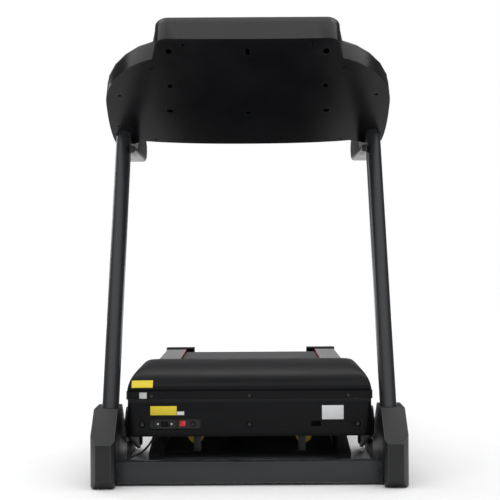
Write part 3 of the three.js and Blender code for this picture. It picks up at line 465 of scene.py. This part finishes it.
# %% Softened nodes
SOFTENED = {
    "front_crossbar": (2.5, "powder_coat"),
    "deck_frame": (1.2, "frame_black"),
    # The lift frame carries a plate between its arms: a dark sheet put where only shade shows under the hood.
    "lift_frame": (1.0, "powder_coat"),
    "drive_motor": (1.5, "powder_coat"),
    "hood_panel": (1.2, "hood_black"),
    "power_inlet": (0.6, "moulded_black"),
    "switch_plate": (0.5, "moulded_black"),
    "breaker_button": (0.8, "moulded_black"),
    "console_front_cover": (2.0, "moulded_black"),
    "power_rocker": (0.6, "signal_red"),
    "display_window": (0.3, "display_gloss"),
    "console_board": (0.2, "circuit_green"),
    "running_board": (1.0, "board_coat"),
    "running_belt": (0.4, "belt_weave"),
    "drive_belt": (0.4, "black_rubber"),
    "front_roller": (0.8, "bright_zinc"),
    "rear_roller": (0.8, "bright_zinc"),
    "motor_flywheel": (0.8, "bright_zinc"),
    "incline_rod": (0.5, "bright_zinc"),
    "incline_motor": (1.5, "cast_aluminium"),
    "motor_controller": (0.6, "cast_aluminium"),
    "start_key": (0.8, "start_green"),
    "stop_key": (0.8, "signal_red"),
}
for key in ("speed_up", "speed_down", "incline_up", "incline_down"):
    SOFTENED[key + "_key"] = (0.8, "key_grey")
for side in ("left", "right"):
    SOFTENED["floor_rail_" + side] = (2.0, "frame_black")
    SOFTENED["swing_arm_" + side] = (1.0, "frame_black")
    SOFTENED["base_cover_" + side] = (1.6, "cover_black")
    SOFTENED["handrail_" + side] = (5.0, "moulded_black")
    SOFTENED["end_cap_" + side] = (1.8, "moulded_black")
    SOFTENED["side_rail_" + side] = (1.2, "foot_rail")
    SOFTENED["front_foot_" + side] = (1.0, "black_rubber")
    SOFTENED["rail_foot_" + side] = (1.0, "black_rubber")
    SOFTENED["rear_foot_" + side] = (2.0, "black_rubber")
    SOFTENED["deck_cushion_" + side] = (1.0, "black_rubber")
    SOFTENED["pivot_pin_" + side] = (0.8, "bright_zinc")
for node, (width, finish_name) in SOFTENED.items():
    shape = softened(node, width, 3 if width > 1.5 else 2)
    piece(node + "_body", shape, BODY_OF[node], finish_name, [node])
left_over = [n for n in frame["nodes"] if n not in SOFTENED]
print("still to make:", left_over)

# %% [markdown]
# The uprights are flat-oval steel tubes, 46 by 70 mm, that lean back from the base to the
# console. A circle pulled apart along its middle is a flat oval, extruding it gives the tube,
# and solidify gives the wall. Enough segments keep the long highlight straight and clean.

# %% Uprights
LEAN = math.radians(26.15)
UPRIGHT = {"x": 404, "depth": 168, "z": 215, "foot": 70, "wide": 46, "deep": 70, "wall": 2}
foot_depth = UPRIGHT["depth"] + math.tan(LEAN) * (UPRIGHT["foot"] - UPRIGHT["z"])


def upright(side):
    sign = -1 if side == "left" else 1
    node = "upright_" + side
    half_flat = (UPRIGHT["deep"] - UPRIGHT["wide"]) / 2 * MM
    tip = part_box(node)[1].z - UPRIGHT["deep"] / 2 * MM * math.sin(LEAN)
    length = (tip - UPRIGHT["foot"] * MM) / math.cos(LEAN)
    bm = bmesh.new()
    bmesh.ops.create_circle(bm, segments=64, radius=UPRIGHT["wide"] / 2 * MM)
    for vert in bm.verts:
        vert.co.y += half_flat if vert.co.y > 0 else -half_flat
    wall = bmesh.ops.extrude_edge_only(bm, edges=list(bm.edges))
    top = [v for v in wall["geom"] if isinstance(v, bmesh.types.BMVert)]
    bmesh.ops.translate(bm, vec=(0, 0, length), verts=top)
    bmesh.ops.recalc_face_normals(bm, faces=bm.faces)
    bmesh.ops.solidify(bm, geom=list(bm.faces), thickness=UPRIGHT["wall"] * MM)
    spot = at(sign * UPRIGHT["x"], foot_depth, UPRIGHT["foot"])
    place = Matrix.Translation(spot) @ Matrix.Rotation(-LEAN, 4, "X")
    bmesh.ops.transform(bm, matrix=place, verts=bm.verts)
    bmesh.ops.recalc_face_normals(bm, faces=bm.faces)
    return piece(node + "_tube", bm, BODY_OF[node], "powder_coat", [node])


for side in ("left", "right"):
    upright(side)

# %% [markdown]
# The console's back cover is one large moulding, and it fills the upper third of the view. Its
# outline has a raised box in the middle, two rounded wings, and two tips that drop beside the
# uprights. We draw half of that outline in the cover's own frame, which slopes 38 degrees from
# level, and mirror it.

# %% Console outline
CONSOLE_PLACE = at(0, 564, 1015.5)
CONSOLE = Matrix.Translation(CONSOLE_PLACE) @ Matrix.Rotation(math.radians(142), 4, "X")
CONSOLE_HALF, BOX_HALF, PLATE, WING_TOP, SPLIT = 446, 289, 444, 361, 70


def curve(points, steps):
    """Points along a curve with two, three or four guides, after its first one."""
    line = [Vector(p) for p in points]
    found = []
    for i in range(1, steps + 1):
        level = line
        while len(level) > 1:
            level = [a.lerp(b, i / steps) for a, b in zip(level, level[1:])]
        found.append(level[0])
    return found


H = CONSOLE_HALF
HALF_OUTLINE = [Vector((0, -18))]
for guides, steps in (
    ([(0, -18), (H - 240, -18), (H - 116, -10)], 12),
    ([(H - 116, -10), (H - 88, -14), (H - 74, -26)], 5),
    ([(H - 74, -26), (H - 24, -27), (H - 11, -18)], 6),
    ([(H - 11, -18), (H - 1, 30), (H, 110)], 8),
    ([(H, 110), (H, 165)], 3),
    ([(H, 165), (H, 255), (BOX_HALF + 75, WING_TOP - 20), (BOX_HALF, WING_TOP)], 14),
    ([(BOX_HALF, WING_TOP), (BOX_HALF - 9, WING_TOP + 42)], 2),
    ([(BOX_HALF - 9, WING_TOP + 42), (BOX_HALF - 13, PLATE), (BOX_HALF - 50, PLATE)], 8),
    ([(BOX_HALF - 50, PLATE), (0, PLATE)], 8),
):
    HALF_OUTLINE += curve(guides, steps)
OUTLINE = HALF_OUTLINE + [Vector((-p.x, p.y)) for p in reversed(HALF_OUTLINE[1:-1])]
print("console outline:", len(OUTLINE), "points")

# %% [markdown]
# The cover's face is gently crowned, so its middle mirrors the dark hood below it, and its sides
# and lower edge mirror the pale floor.
# The outline is extruded inwards ring by ring, each ring a little smaller, and every point is
# then let down by a crown that grows towards the sides and the lower edge. The wall is pulled
# back from the outer ring, and its corner is rounded by a bevel.

# %% Console shell before its holes
RING_SHARES = (0.98, 0.96, 0.935, 0.91, 0.88, 0.85, 0.81, 0.77, 0.72, 0.67, 0.61, 0.55,
               0.48, 0.4, 0.31, 0.2, 0.1)
RING_CENTRE = Vector((0, 290, 0)) * MM
CROWN_SIDE, CROWN_LOW, CROWN_FROM = 13.0, 9.0, 180


def crown(x, y):
    across = abs(x) / CONSOLE_HALF
    low = max(0.0, (CROWN_FROM - y) / (CROWN_FROM + 18))
    return -CROWN_SIDE * across**2.4 - CROWN_LOW * low**2.2


def console_shell():
    bm = bmesh.new()
    rim = [bm.verts.new((p.x * MM, p.y * MM, 0)) for p in OUTLINE]
    rim_edges = [bm.edges.new((a, b)) for a, b in zip(rim, rim[1:] + rim[:1])]
    loop, size = rim_edges, 1.0
    for share in RING_SHARES:
        made = bmesh.ops.extrude_edge_only(bm, edges=loop)["geom"]
        ring = [g for g in made if isinstance(g, bmesh.types.BMVert)]
        loop = [g for g in made if isinstance(g, bmesh.types.BMEdge)]
        loop = [e for e in loop if e.verts[0] in ring and e.verts[1] in ring]
        about = Matrix.Translation(-RING_CENTRE)
        bmesh.ops.scale(bm, vec=(share / size,) * 2 + (1,), space=about, verts=ring)
        size = share
    bmesh.ops.contextual_create(bm, geom=loop)
    for vert in bm.verts:
        vert.co.z = crown(vert.co.x / MM, vert.co.y / MM) * MM
    made = bmesh.ops.extrude_edge_only(bm, edges=rim_edges)["geom"]
    for vert in (g for g in made if isinstance(g, bmesh.types.BMVert)):
        vert.co.z = -SPLIT * MM
    bmesh.ops.bevel(
        bm,
        geom=rim_edges,
        offset=6.5 * MM,
        offset_type="OFFSET",
        affect="EDGES",
        segments=5,
        profile=0.5,
        material=-1,
        clamp_overlap=True,
    )
    bmesh.ops.recalc_face_normals(bm, faces=bm.faces)
    if sum(f.normal.z * f.calc_area() for f in bm.faces) < 0:
        bmesh.ops.reverse_faces(bm, faces=bm.faces)
    return bm


# %% [markdown]
# Screws reach the console's inside through counterbored holes, round ones and oval ones. A
# boolean cuts them, and the two ovals for the uprights, out of the finished shell, because a
# cut edge stays crisp however the surface curves. The cutters are removed afterwards.

# %% Holes, cutters and the finished cover
SCREW_HOLES = [
    (236, 392, 9.5, 12),
    (193, 418, 5, 5),
    (293, 322, 5.5, 4),
    (240, 249, 8, 9),
    (400, 202, 6, 4),
    (246, 140, 10.5, 7.5),
    (415, 62, 6, 3),
    (300, 2, 5, 3.2),
    (90, -5, 5, 3.2),
]
CENTRE_HOLES = [(0, 393, 8, 15), (0, 134, 7.5, 7.5)]
ALL_HOLES = [(s * x, y, a, b) for x, y, a, b in SCREW_HOLES for s in (-1, 1)]
ALL_HOLES += CENTRE_HOLES


def oval(bm, x, y, wide, tall, low, high, segments=28):
    made = bmesh.ops.create_cone(
        bm,
        cap_ends=True,
        segments=segments,
        radius1=MM,
        radius2=MM,
        depth=(high - low) * MM,
    )["verts"]
    bmesh.ops.scale(bm, vec=(wide, tall, 1), verts=made)
    spot = Vector((x, y, (low + high) / 2)) * MM
    bmesh.ops.translate(bm, vec=spot, verts=made)
    return made


BAR_LENGTH, BAR_MIDDLE = 1.6, 0.85  # metres: a cutter longer than the upright


def upright_bar(bm, sign, grow):
    half_flat = (UPRIGHT["deep"] - UPRIGHT["wide"]) / 2 * MM
    made = bmesh.ops.create_cone(
        bm,
        cap_ends=True,
        segments=48,
        radius1=(UPRIGHT["wide"] / 2 + grow) * MM,
        radius2=(UPRIGHT["wide"] / 2 + grow) * MM,
        depth=BAR_LENGTH,
    )["verts"]
    for vert in made:
        vert.co.y += half_flat if vert.co.y > 0 else -half_flat
    spot = at(sign * UPRIGHT["x"], foot_depth, UPRIGHT["foot"])
    place = Matrix.Translation(spot) @ Matrix.Rotation(-LEAN, 4, "X")
    lift = CONSOLE.inverted() @ place @ Matrix.Translation((0, 0, BAR_MIDDLE))
    bmesh.ops.transform(bm, matrix=lift, verts=made)


def cut(bm, cutters, thickness):
    """The shell, given a wall and cut by the cutters, as one mesh."""
    shell_mesh, cutter_mesh = bpy.data.meshes.new("shell"), bpy.data.meshes.new("cutter")
    bm.to_mesh(shell_mesh)
    cutters.to_mesh(cutter_mesh)
    bm.free()
    cutters.free()
    shell = bpy.data.objects.new("shell", shell_mesh)
    cutter = bpy.data.objects.new("cutter", cutter_mesh)
    for obj in (shell, cutter):
        bpy.context.scene.collection.objects.link(obj)
    if thickness:
        wall = shell.modifiers.new("wall", "SOLIDIFY")
        wall.thickness = thickness * MM
        wall.offset = -1
    holes = shell.modifiers.new("holes", "BOOLEAN")
    holes.operation = "DIFFERENCE"
    holes.solver = "EXACT"
    holes.object = cutter
    holes.use_self = True
    graph = bpy.context.evaluated_depsgraph_get()
    made = bpy.data.meshes.new_from_object(shell.evaluated_get(graph))
    for obj in (shell, cutter):
        bpy.data.objects.remove(obj)
    return made


cutters = bmesh.new()
for hole in ALL_HOLES:
    oval(cutters, *hole, -30, 12)
for sign in (-1, 1):
    upright_bar(cutters, sign, 1.5)
cover_mesh = cut(console_shell(), cutters, 3)
cover_mesh.transform(CONSOLE)
piece("console_back_shell", cover_mesh, "base", "console_black",
      ["console_back_cover"])
print("console cover:", len(cover_mesh.polygons), "faces,", len(ALL_HOLES), "holes")

# %% [markdown]
# The hood over the motor is one moulding: an upright strip in front, then a dome that rises to
# the top and rolls over shoulders at both sides. A grid has the right topology, so we lay it out
# by two curves, the side profile and the shoulder, and blend them where they meet, so that the
# crease between them is soft. The side walls are pulled down from the grid's edge.

# %% Hood
HOOD = {"front": 189, "back": 665, "low": 229.4, "top": 320}
DOME = [(183, 257), (186, 268), (201, 282), (233, 299), (289, 312), (354, 318), (424, 320),
        (490, 319), (545, 316), (592, 310), (620, 302), (642, 292), (653, 284), (660, 268),
        (665, 252)]


def smooth_line(points, steps):
    """A line that runs smoothly through the points."""
    line = [Vector(p) for p in points]
    padded = [2 * line[0] - line[1], *line, 2 * line[-1] - line[-2]]
    found = [line[0]]
    for a, b, c, d in zip(padded, padded[1:], padded[2:], padded[3:]):
        for i in range(1, steps + 1):
            t = i / steps
            found.append(0.5 * (2 * b + (c - a) * t + (2 * a - 5 * b + 4 * c - d) * t**2
                                + (3 * b - a - 3 * c + d) * t**3))
    return found


STRIP_LINE = [Vector((HOOD["front"], z)) for z in (230, 236, 244, 251)]
SIDE_LINE = STRIP_LINE + [Vector((HOOD["front"] - 1, 253.5))] + smooth_line(DOME, 4)
SHOULDER = [Vector((358, 255))] + curve([(358, 255), (354, 320), (286, 320)], 14)
SHOULDER += [Vector((286 - 286 * i / 12, 320)) for i in range(1, 13)]
ROUNDING = 9.0  # how gently the dome's shoulder meets its side


def dome_height(x, height, limit):
    """Where the line over the hood's middle meets the line across it, rounded off."""
    rise = limit + 3 * max(0, 1 - abs(x) / 330)
    gap = height - rise
    return (height + rise - math.sqrt(gap * gap + ROUNDING * ROUNDING)) / 2 + 1.5


def hood():
    side = SIDE_LINE
    across = SHOULDER + [Vector((-p.x, p.y)) for p in reversed(SHOULDER[:-1])]
    bm = bmesh.new()
    bmesh.ops.create_grid(bm, x_segments=len(across) - 1, y_segments=len(side) - 1, size=1)
    bm.verts.ensure_lookup_table()
    for i, (depth, height) in enumerate(side):
        for j, (x, limit) in enumerate(across):
            z = dome_height(x, height, limit)
            if height < 256:
                z = min(height, z + 0.5)
            bm.verts[i * len(across) + j].co = at(x, depth, z)
    edges = [e for e in bm.edges if e.is_boundary]
    walls = bmesh.ops.extrude_edge_only(bm, edges=edges)["geom"]
    for vert in (g for g in walls if isinstance(g, bmesh.types.BMVert)):
        vert.co.z = HOOD["low"] * MM
    bmesh.ops.remove_doubles(bm, verts=bm.verts, dist=2e-4)
    bmesh.ops.dissolve_degenerate(bm, edges=bm.edges, dist=1e-5)
    bmesh.ops.recalc_face_normals(bm, faces=bm.faces)
    if sum(f.normal.z * f.calc_area() for f in bm.faces) < 0:
        bmesh.ops.reverse_faces(bm, faces=bm.faces)
    return bm


belt_way = bmesh.new()
made = bmesh.ops.create_cube(belt_way, size=1)["verts"]
bmesh.ops.scale(belt_way, vec=(0.708, 0.03, 0.029), verts=made)
bmesh.ops.translate(belt_way, vec=at(0, 668, 237), verts=made)
hood_mesh = cut(hood(), belt_way, 3)
piece("hood_dome", hood_mesh, "deck", "hood_black", ["hood_top"], 38)
print("hood:", len(hood_mesh.polygons), "faces")

# %% [markdown]
# Wheels, buffers and screws are turned. The transport wheels are hard rubber with a dished face,
# and the yellow buffers are polyurethane discs; their washer and bolt in the middle are not made.

# %% Wheels and buffers
WHEEL = {"radius": 27, "bore": 5.2, "hub": 11, "dish": 20}
for side, sign in (("left", -1), ("right", 1)):
    low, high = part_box("transport_wheel_" + side)
    wide = (high.x - low.x) / MM
    r, bore, hub, dish = WHEEL["radius"], WHEEL["bore"], WHEEL["hub"], WHEEL["dish"]
    face = [(bore, 0), (hub - 1, 0), (hub, 1.5), (dish, 1.5), (dish + 1, 0), (r - 1.5, 0),
            (r, 1.5)]
    profile = face + [(radius, wide - z) for radius, z in reversed(face)] + [(bore, 0)]
    spot = Vector((low.x, (low.y + high.y) / 2, (low.z + high.z) / 2))
    shape = turned(profile, pointing(spot, (1, 0, 0)), 40)
    node = "transport_wheel_" + side
    piece(node + "_tyre", shape, BODY_OF[node], "black_rubber", [node])
    node = "lift_buffer_" + side
    low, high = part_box(node)
    r, deep = (high.x - low.x) / 2 / MM, (high.y - low.y) / MM
    profile = [(0, 0), (r - 5, 0), (r - 1.5, 1.6), (r, 5), (r, deep - 5), (r - 1.5, deep - 1.6),
               (r - 5, deep), (0, deep)]
    spot = Vector(((low.x + high.x) / 2, low.y, (low.z + high.z) / 2))
    shape = turned(profile, pointing(spot, (0, 1, 0)), 40)
    piece(node + "_disc", shape, BODY_OF[node], "buffer_yellow", [node])
print("wheels and buffers turned")

# %% [markdown]
# Screw and bolt heads are small, but a machine without them looks like a toy. One turned head
# with a sunken drive serves them all. The heads on one body are joined into one piece.


# %% Screws and bolts
def head(place, direction, radius, high):
    profile = [(0, high * 0.35), (radius * 0.42, high * 0.35), (radius * 0.46, high),
               (radius * 0.8, high * 0.92), (radius, high * 0.45), (radius, 0), (0, 0)]
    return turned(profile, pointing(place, direction), 20)


def heads(name, body, finish_name, places, direction, radius, high):
    parts = [head(place, direction, radius, high) for place in places]
    return piece(name, joined(parts), body, finish_name)


FRONT = (0, -1, 0)
heads("hood_strip_screws", "deck", "powder_coat",
      [at(x, 188.8, 238) for x in (-287, 0, 290)], FRONT, 4.2, 1.6)
heads("hood_bracket_bolts", "deck", "powder_coat",
      [at(x, 186.5, 155) for x in (-315, 0, 317)], FRONT, 6.6, 4)
heads("inlet_screws", "deck", "bright_zinc",
      [at(-248.5 + s * 20, 184.9, 157) for s in (-1, 1)], FRONT, 3.4, 1.4)
heads("crossbar_screws", "base", "powder_coat",
      [at(s * 374, 55.8, z) for s in (-1, 1) for z in (20, 56)], FRONT, 3.0, 1.4)
DOWN = CONSOLE.to_3x3() @ Vector((0, 0, 1))
deep_holes = [(x, y, a) for x, y, a, b in ALL_HOLES if a > 6]
heads("console_screws", "base", "bright_zinc",
      [CONSOLE @ (Vector((x, y, -34)) * MM) for x, y, a in deep_holes], DOWN, 4.0, 2.2)
print("screws and bolts made")

# %% [markdown]
# Each foot rail is edged by a thin red trim where it meets the belt, and ribbed for grip. The
# ribs are low extruded bars; the trim is one slim bar with rounded corners.


# %% Foot rail trims and ribs
def bar(x0, x1, d0, d1, z0, z1, corner):
    bm = bmesh.new()
    made = bmesh.ops.create_cube(bm, size=1)["verts"]
    low, high = at(x0, d0, z0), at(x1, d1, z1)
    bmesh.ops.scale(bm, vec=high - low, verts=made)
    bmesh.ops.translate(bm, vec=(low + high) / 2, verts=made)
    bmesh.ops.bevel(bm, geom=list(bm.edges), offset=corner * MM, offset_type="OFFSET",
                    affect="EDGES", segments=2, profile=0.5, material=-1, clamp_overlap=True)
    return bm


RAIL_INNER = 268
RIB_PITCH, RIB_WIDE, RIBS = 7.4, 2.6, 9
for side, sign in (("left", -1), ("right", 1)):
    rail_low, rail_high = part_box("side_rail_" + side)
    front = (rail_low.y - cad_box[0].y) / MM + 1
    rear = (rail_high.y - cad_box[0].y) / MM - 1
    top = rail_high.z / MM
    edges = sorted((sign * (RAIL_INNER - 0.8), sign * (RAIL_INNER + 1.2)))
    piece("rail_trim_" + side, bar(*edges, front, rear, top - 4.5, top + 0.6, 0.3), "deck",
          "signal_red")
    ribs = []
    for i in range(RIBS):
        first = RAIL_INNER + 12 + RIB_PITCH * i
        x = sorted((sign * first, sign * (first + RIB_WIDE)))
        ribs.append(bar(*x, front + 6, rear - 8, top - 0.4, top + 0.9, 0.4))
    piece("rail_ribs_" + side, joined(ribs), "deck", "foot_rail")
print("foot rails trimmed")

# %% [markdown]
# Stickers on the hood and its front panel are plain coloured film here, thin sheets with rounded
# corners and no lettering. The film takes its own finishes, slightly glossy and slightly uneven.

# %% Stickers
FINISHES["film_yellow"] = finish("film_yellow", (0.72, 0.55, 0.012), (0.85, 0.68, 0.02), 0.35,
                                 scale=300, bump=0.03)
FINISHES["film_white"] = finish("film_white", (0.66, 0.67, 0.68), (0.8, 0.8, 0.8), 0.4,
                                scale=300, bump=0.03)
FINISHES["film_silver"] = finish("film_silver", (0.5, 0.51, 0.49), (0.62, 0.63, 0.6), 0.35,
                                 metallic=0.4, scale=300, bump=0.03)


def sticker(name, x, z, depth, finish_name):
    shape = bar(x[0], x[1], depth - 0.35, depth, z[0], z[1], 0.12)
    corners = [e for e in shape.edges if abs((e.verts[0].co - e.verts[1].co).y) > 1e-4]
    bmesh.ops.bevel(shape, geom=corners, offset=1.5 * MM, offset_type="OFFSET",
                    affect="EDGES", segments=3, profile=0.5, material=-1, clamp_overlap=True)
    return piece(name, shape, "deck", finish_name)


PANEL_FACE = (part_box("hood_panel")[0].y - cad_box[0].y) / MM
sticker("panel_sticker_yellow", (-290, -213), (183.5, 210), PANEL_FACE, "film_yellow")
sticker("panel_sticker_small", (-212, -191), (183.5, 194), PANEL_FACE, "film_white")
sticker("panel_sticker_white", (212, 275), (169, 210), PANEL_FACE, "film_white")
sticker("strip_tag_silver", (-323, -301), (231, 249), HOOD["front"] - 0.1, "film_silver")

# %% [markdown]
# One more sticker follows the dome's curve above its lower left corner. It is a small grid laid
# on the dome, lifted by a hair and given its own thickness.

# %% Sticker on the dome
DOME_STICKER = {"left": -345, "right": -283, "low": 260, "high": 284, "columns": 12,
                "lift": 0.3, "thick": 0.2}


def limit_at(x):
    """The shoulder's height at a place across the hood."""
    for outer, inner in zip(SHOULDER, SHOULDER[1:]):
        if inner.x <= abs(x) <= outer.x:
            share = (abs(x) - inner.x) / (outer.x - inner.x)
            return inner.y + share * (outer.y - inner.y)
    return HOOD["top"]


rows = [p for p in SIDE_LINE if DOME_STICKER["low"] <= p.y <= DOME_STICKER["high"]]
rows = [p for p in rows if p.x < HOOD["back"] / 2]
columns = DOME_STICKER["columns"]
film = bmesh.new()
bmesh.ops.create_grid(film, x_segments=columns, y_segments=len(rows) - 1, size=1)
film.verts.ensure_lookup_table()
span = DOME_STICKER["right"] - DOME_STICKER["left"]
for i, (depth, height) in enumerate(rows):
    for j in range(columns + 1):
        x = DOME_STICKER["left"] + span * j / columns
        film.verts[i * (columns + 1) + j].co = at(x, depth, dome_height(x, height, limit_at(x)))
film.normal_update()
if sum(f.normal.z for f in film.faces) < 0:
    bmesh.ops.reverse_faces(film, faces=film.faces)
film.normal_update()
for vert in film.verts:
    vert.co += vert.normal * DOME_STICKER["lift"] * MM
bmesh.ops.solidify(film, geom=film.faces, thickness=DOME_STICKER["thick"] * MM)
bmesh.ops.recalc_face_normals(film, faces=film.faces)
piece("dome_sticker_yellow", film, "deck", "film_yellow")
print("stickers laid on the panel, the strip and the dome,", len(rows), "rows")

# %% [markdown]
# One thin cable leaves the motor bay and goes down into the left upright's foot. It is swept
# round a smooth line.

# %% Signal cable
CABLE_ROUTE = [(-285, 268, 117), (-291, 240, 100), (-306, 200, 82), (-324, 160, 73),
               (-343, 124, 70), (-358, 112, 64), (-374, 108, 60)]
CABLE_RADIUS = 3.0


def swept(line, radius, segments=16):
    bm = bmesh.new()
    loops = []
    for i, spot in enumerate(line):
        ahead = line[min(i + 1, len(line) - 1)] - line[max(i - 1, 0)]
        ring = bmesh.ops.create_circle(bm, segments=segments, radius=radius * MM)["verts"]
        side = Vector((0, 0, 1)).cross(ahead).normalized()
        turn = Matrix((side, ahead.cross(side).normalized(), ahead.normalized())).transposed()
        place = Matrix.Translation(spot) @ turn.to_4x4()
        bmesh.ops.transform(bm, matrix=place, verts=ring)
        loops.append([e for e in bm.edges if e.verts[0] in ring and e.verts[1] in ring])
    for a, b in zip(loops, loops[1:]):
        bmesh.ops.bridge_loops(bm, edges=a + b)
    for end in (loops[0], loops[-1]):
        bmesh.ops.contextual_create(bm, geom=end)
    bmesh.ops.recalc_face_normals(bm, faces=bm.faces)
    return bm


cable_path = smooth_line([at(*p) for p in CABLE_ROUTE], 5)
cable_mesh = bpy.data.meshes.new("signal_cable_jacket")
jacket = swept(cable_path, CABLE_RADIUS)
jacket.to_mesh(cable_mesh)
jacket.free()
cable_mesh.polygons.foreach_set("use_smooth", [True] * len(cable_mesh.polygons))
cable = bpy.data.objects.new("signal_cable_jacket", cable_mesh)
bpy.context.scene.collection.objects.link(cable)
cable_mesh.materials.append(FINISHES["black_rubber"])
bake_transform(cable)
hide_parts("signal_cable")

# %% [markdown]
# Any node that is still its own plain self gets its finish now, and the last is the safety key:
# a round magnet with a finger grip, softened.

# %% Safety key and what is left
piece("safety_key_cap", softened("safety_key", 1.5, 3), BODY_OF["safety_key"], "signal_red",
      ["safety_key"])
SLOT_OF = {s["node"]: s["material_slot"] for s in frame["record"]["subparts"]}
for node, obj in frame["nodes"].items():
    if not obj.hide_render:
        print("kept as it is:", node)
        obj.data.materials.clear()
        obj.data.materials.append(FINISHES[SLOT_OF[node]])

# %% [markdown]
# A studio shows a black machine on a white sweep, under one very broad soft light from above.
# Two tall lights at the sides draw a line of light down each tube, a weak one in front opens
# the shadows, and two behind graze the hood's top and its left corner. The floor is pale and
# plain. The sky is white where it is seen, and dim where it only lights the machine.


# %% Floor, lights and sky
def soft_light(name, place, target, wide, tall, power):
    data = bpy.data.lights.new(name, "AREA")
    data.shape = "RECTANGLE"
    data.size, data.size_y, data.energy = wide, tall, power
    light = bpy.data.objects.new(name, data)
    bpy.context.scene.collection.objects.link(light)
    aim = (Vector(target) - Vector(place)).to_track_quat("-Z", "Y")
    light.matrix_world = Matrix.Translation(place) @ aim.to_matrix().to_4x4()


floor_bm = bmesh.new()
bmesh.ops.create_circle(floor_bm, cap_ends=True, segments=64, radius=40)
floor_mesh = bpy.data.meshes.new("studio_floor")
floor_bm.to_mesh(floor_mesh)
floor_bm.free()
floor = bpy.data.objects.new("studio_floor", floor_mesh)
bpy.context.scene.collection.objects.link(floor)
floor_mesh.materials.append(finish("studio_floor", (0.9, 0.9, 0.9), (0.94, 0.94, 0.94), 0.7,
                                   scale=40, bump=0.02, specular=0.2))
soft_light("light_left", (-2.4, -4.8, 1.2), (-0.2, 0, 0.7), 0.7, 2.6, 7)
soft_light("light_right", (2.7, -4.6, 1.2), (0.2, 0, 0.7), 0.8, 2.6, 10)
soft_light("light_front", (0.6, -6.5, 1.6), (0, 0, 0.5), 3.0, 2.0, 22)
soft_light("light_behind", (-1, 7, 0.3), (0, 0, 0.7), 12, 0.7, 22)
soft_light("light_corner", (-2.6, 1.8, 1.5), (-0.3, -0.4, 0.3), 0.9, 0.9, 16)
above = bpy.data.lights.new("light_above", "SUN")
above.energy = 3.3
above.angle = math.radians(110)
above_lamp = bpy.data.objects.new("light_above", above)
bpy.context.scene.collection.objects.link(above_lamp)

world = bpy.data.worlds.new("studio")
bpy.context.scene.world = world
world.use_nodes = True
nodes, link = world.node_tree.nodes, world.node_tree.links.new
seen = nodes.new("ShaderNodeLightPath")
shade = nodes.new("ShaderNodeMix")
shade.data_type = "RGBA"
shade.inputs["A"].default_value = (0.1, 0.1, 0.105, 1)
shade.inputs["B"].default_value = (1, 1, 1, 1)
link(seen.outputs["Is Camera Ray"], shade.inputs["Factor"])
link(shade.outputs["Result"], nodes["Background"].inputs["Color"])
print("floor, six lights and sky")
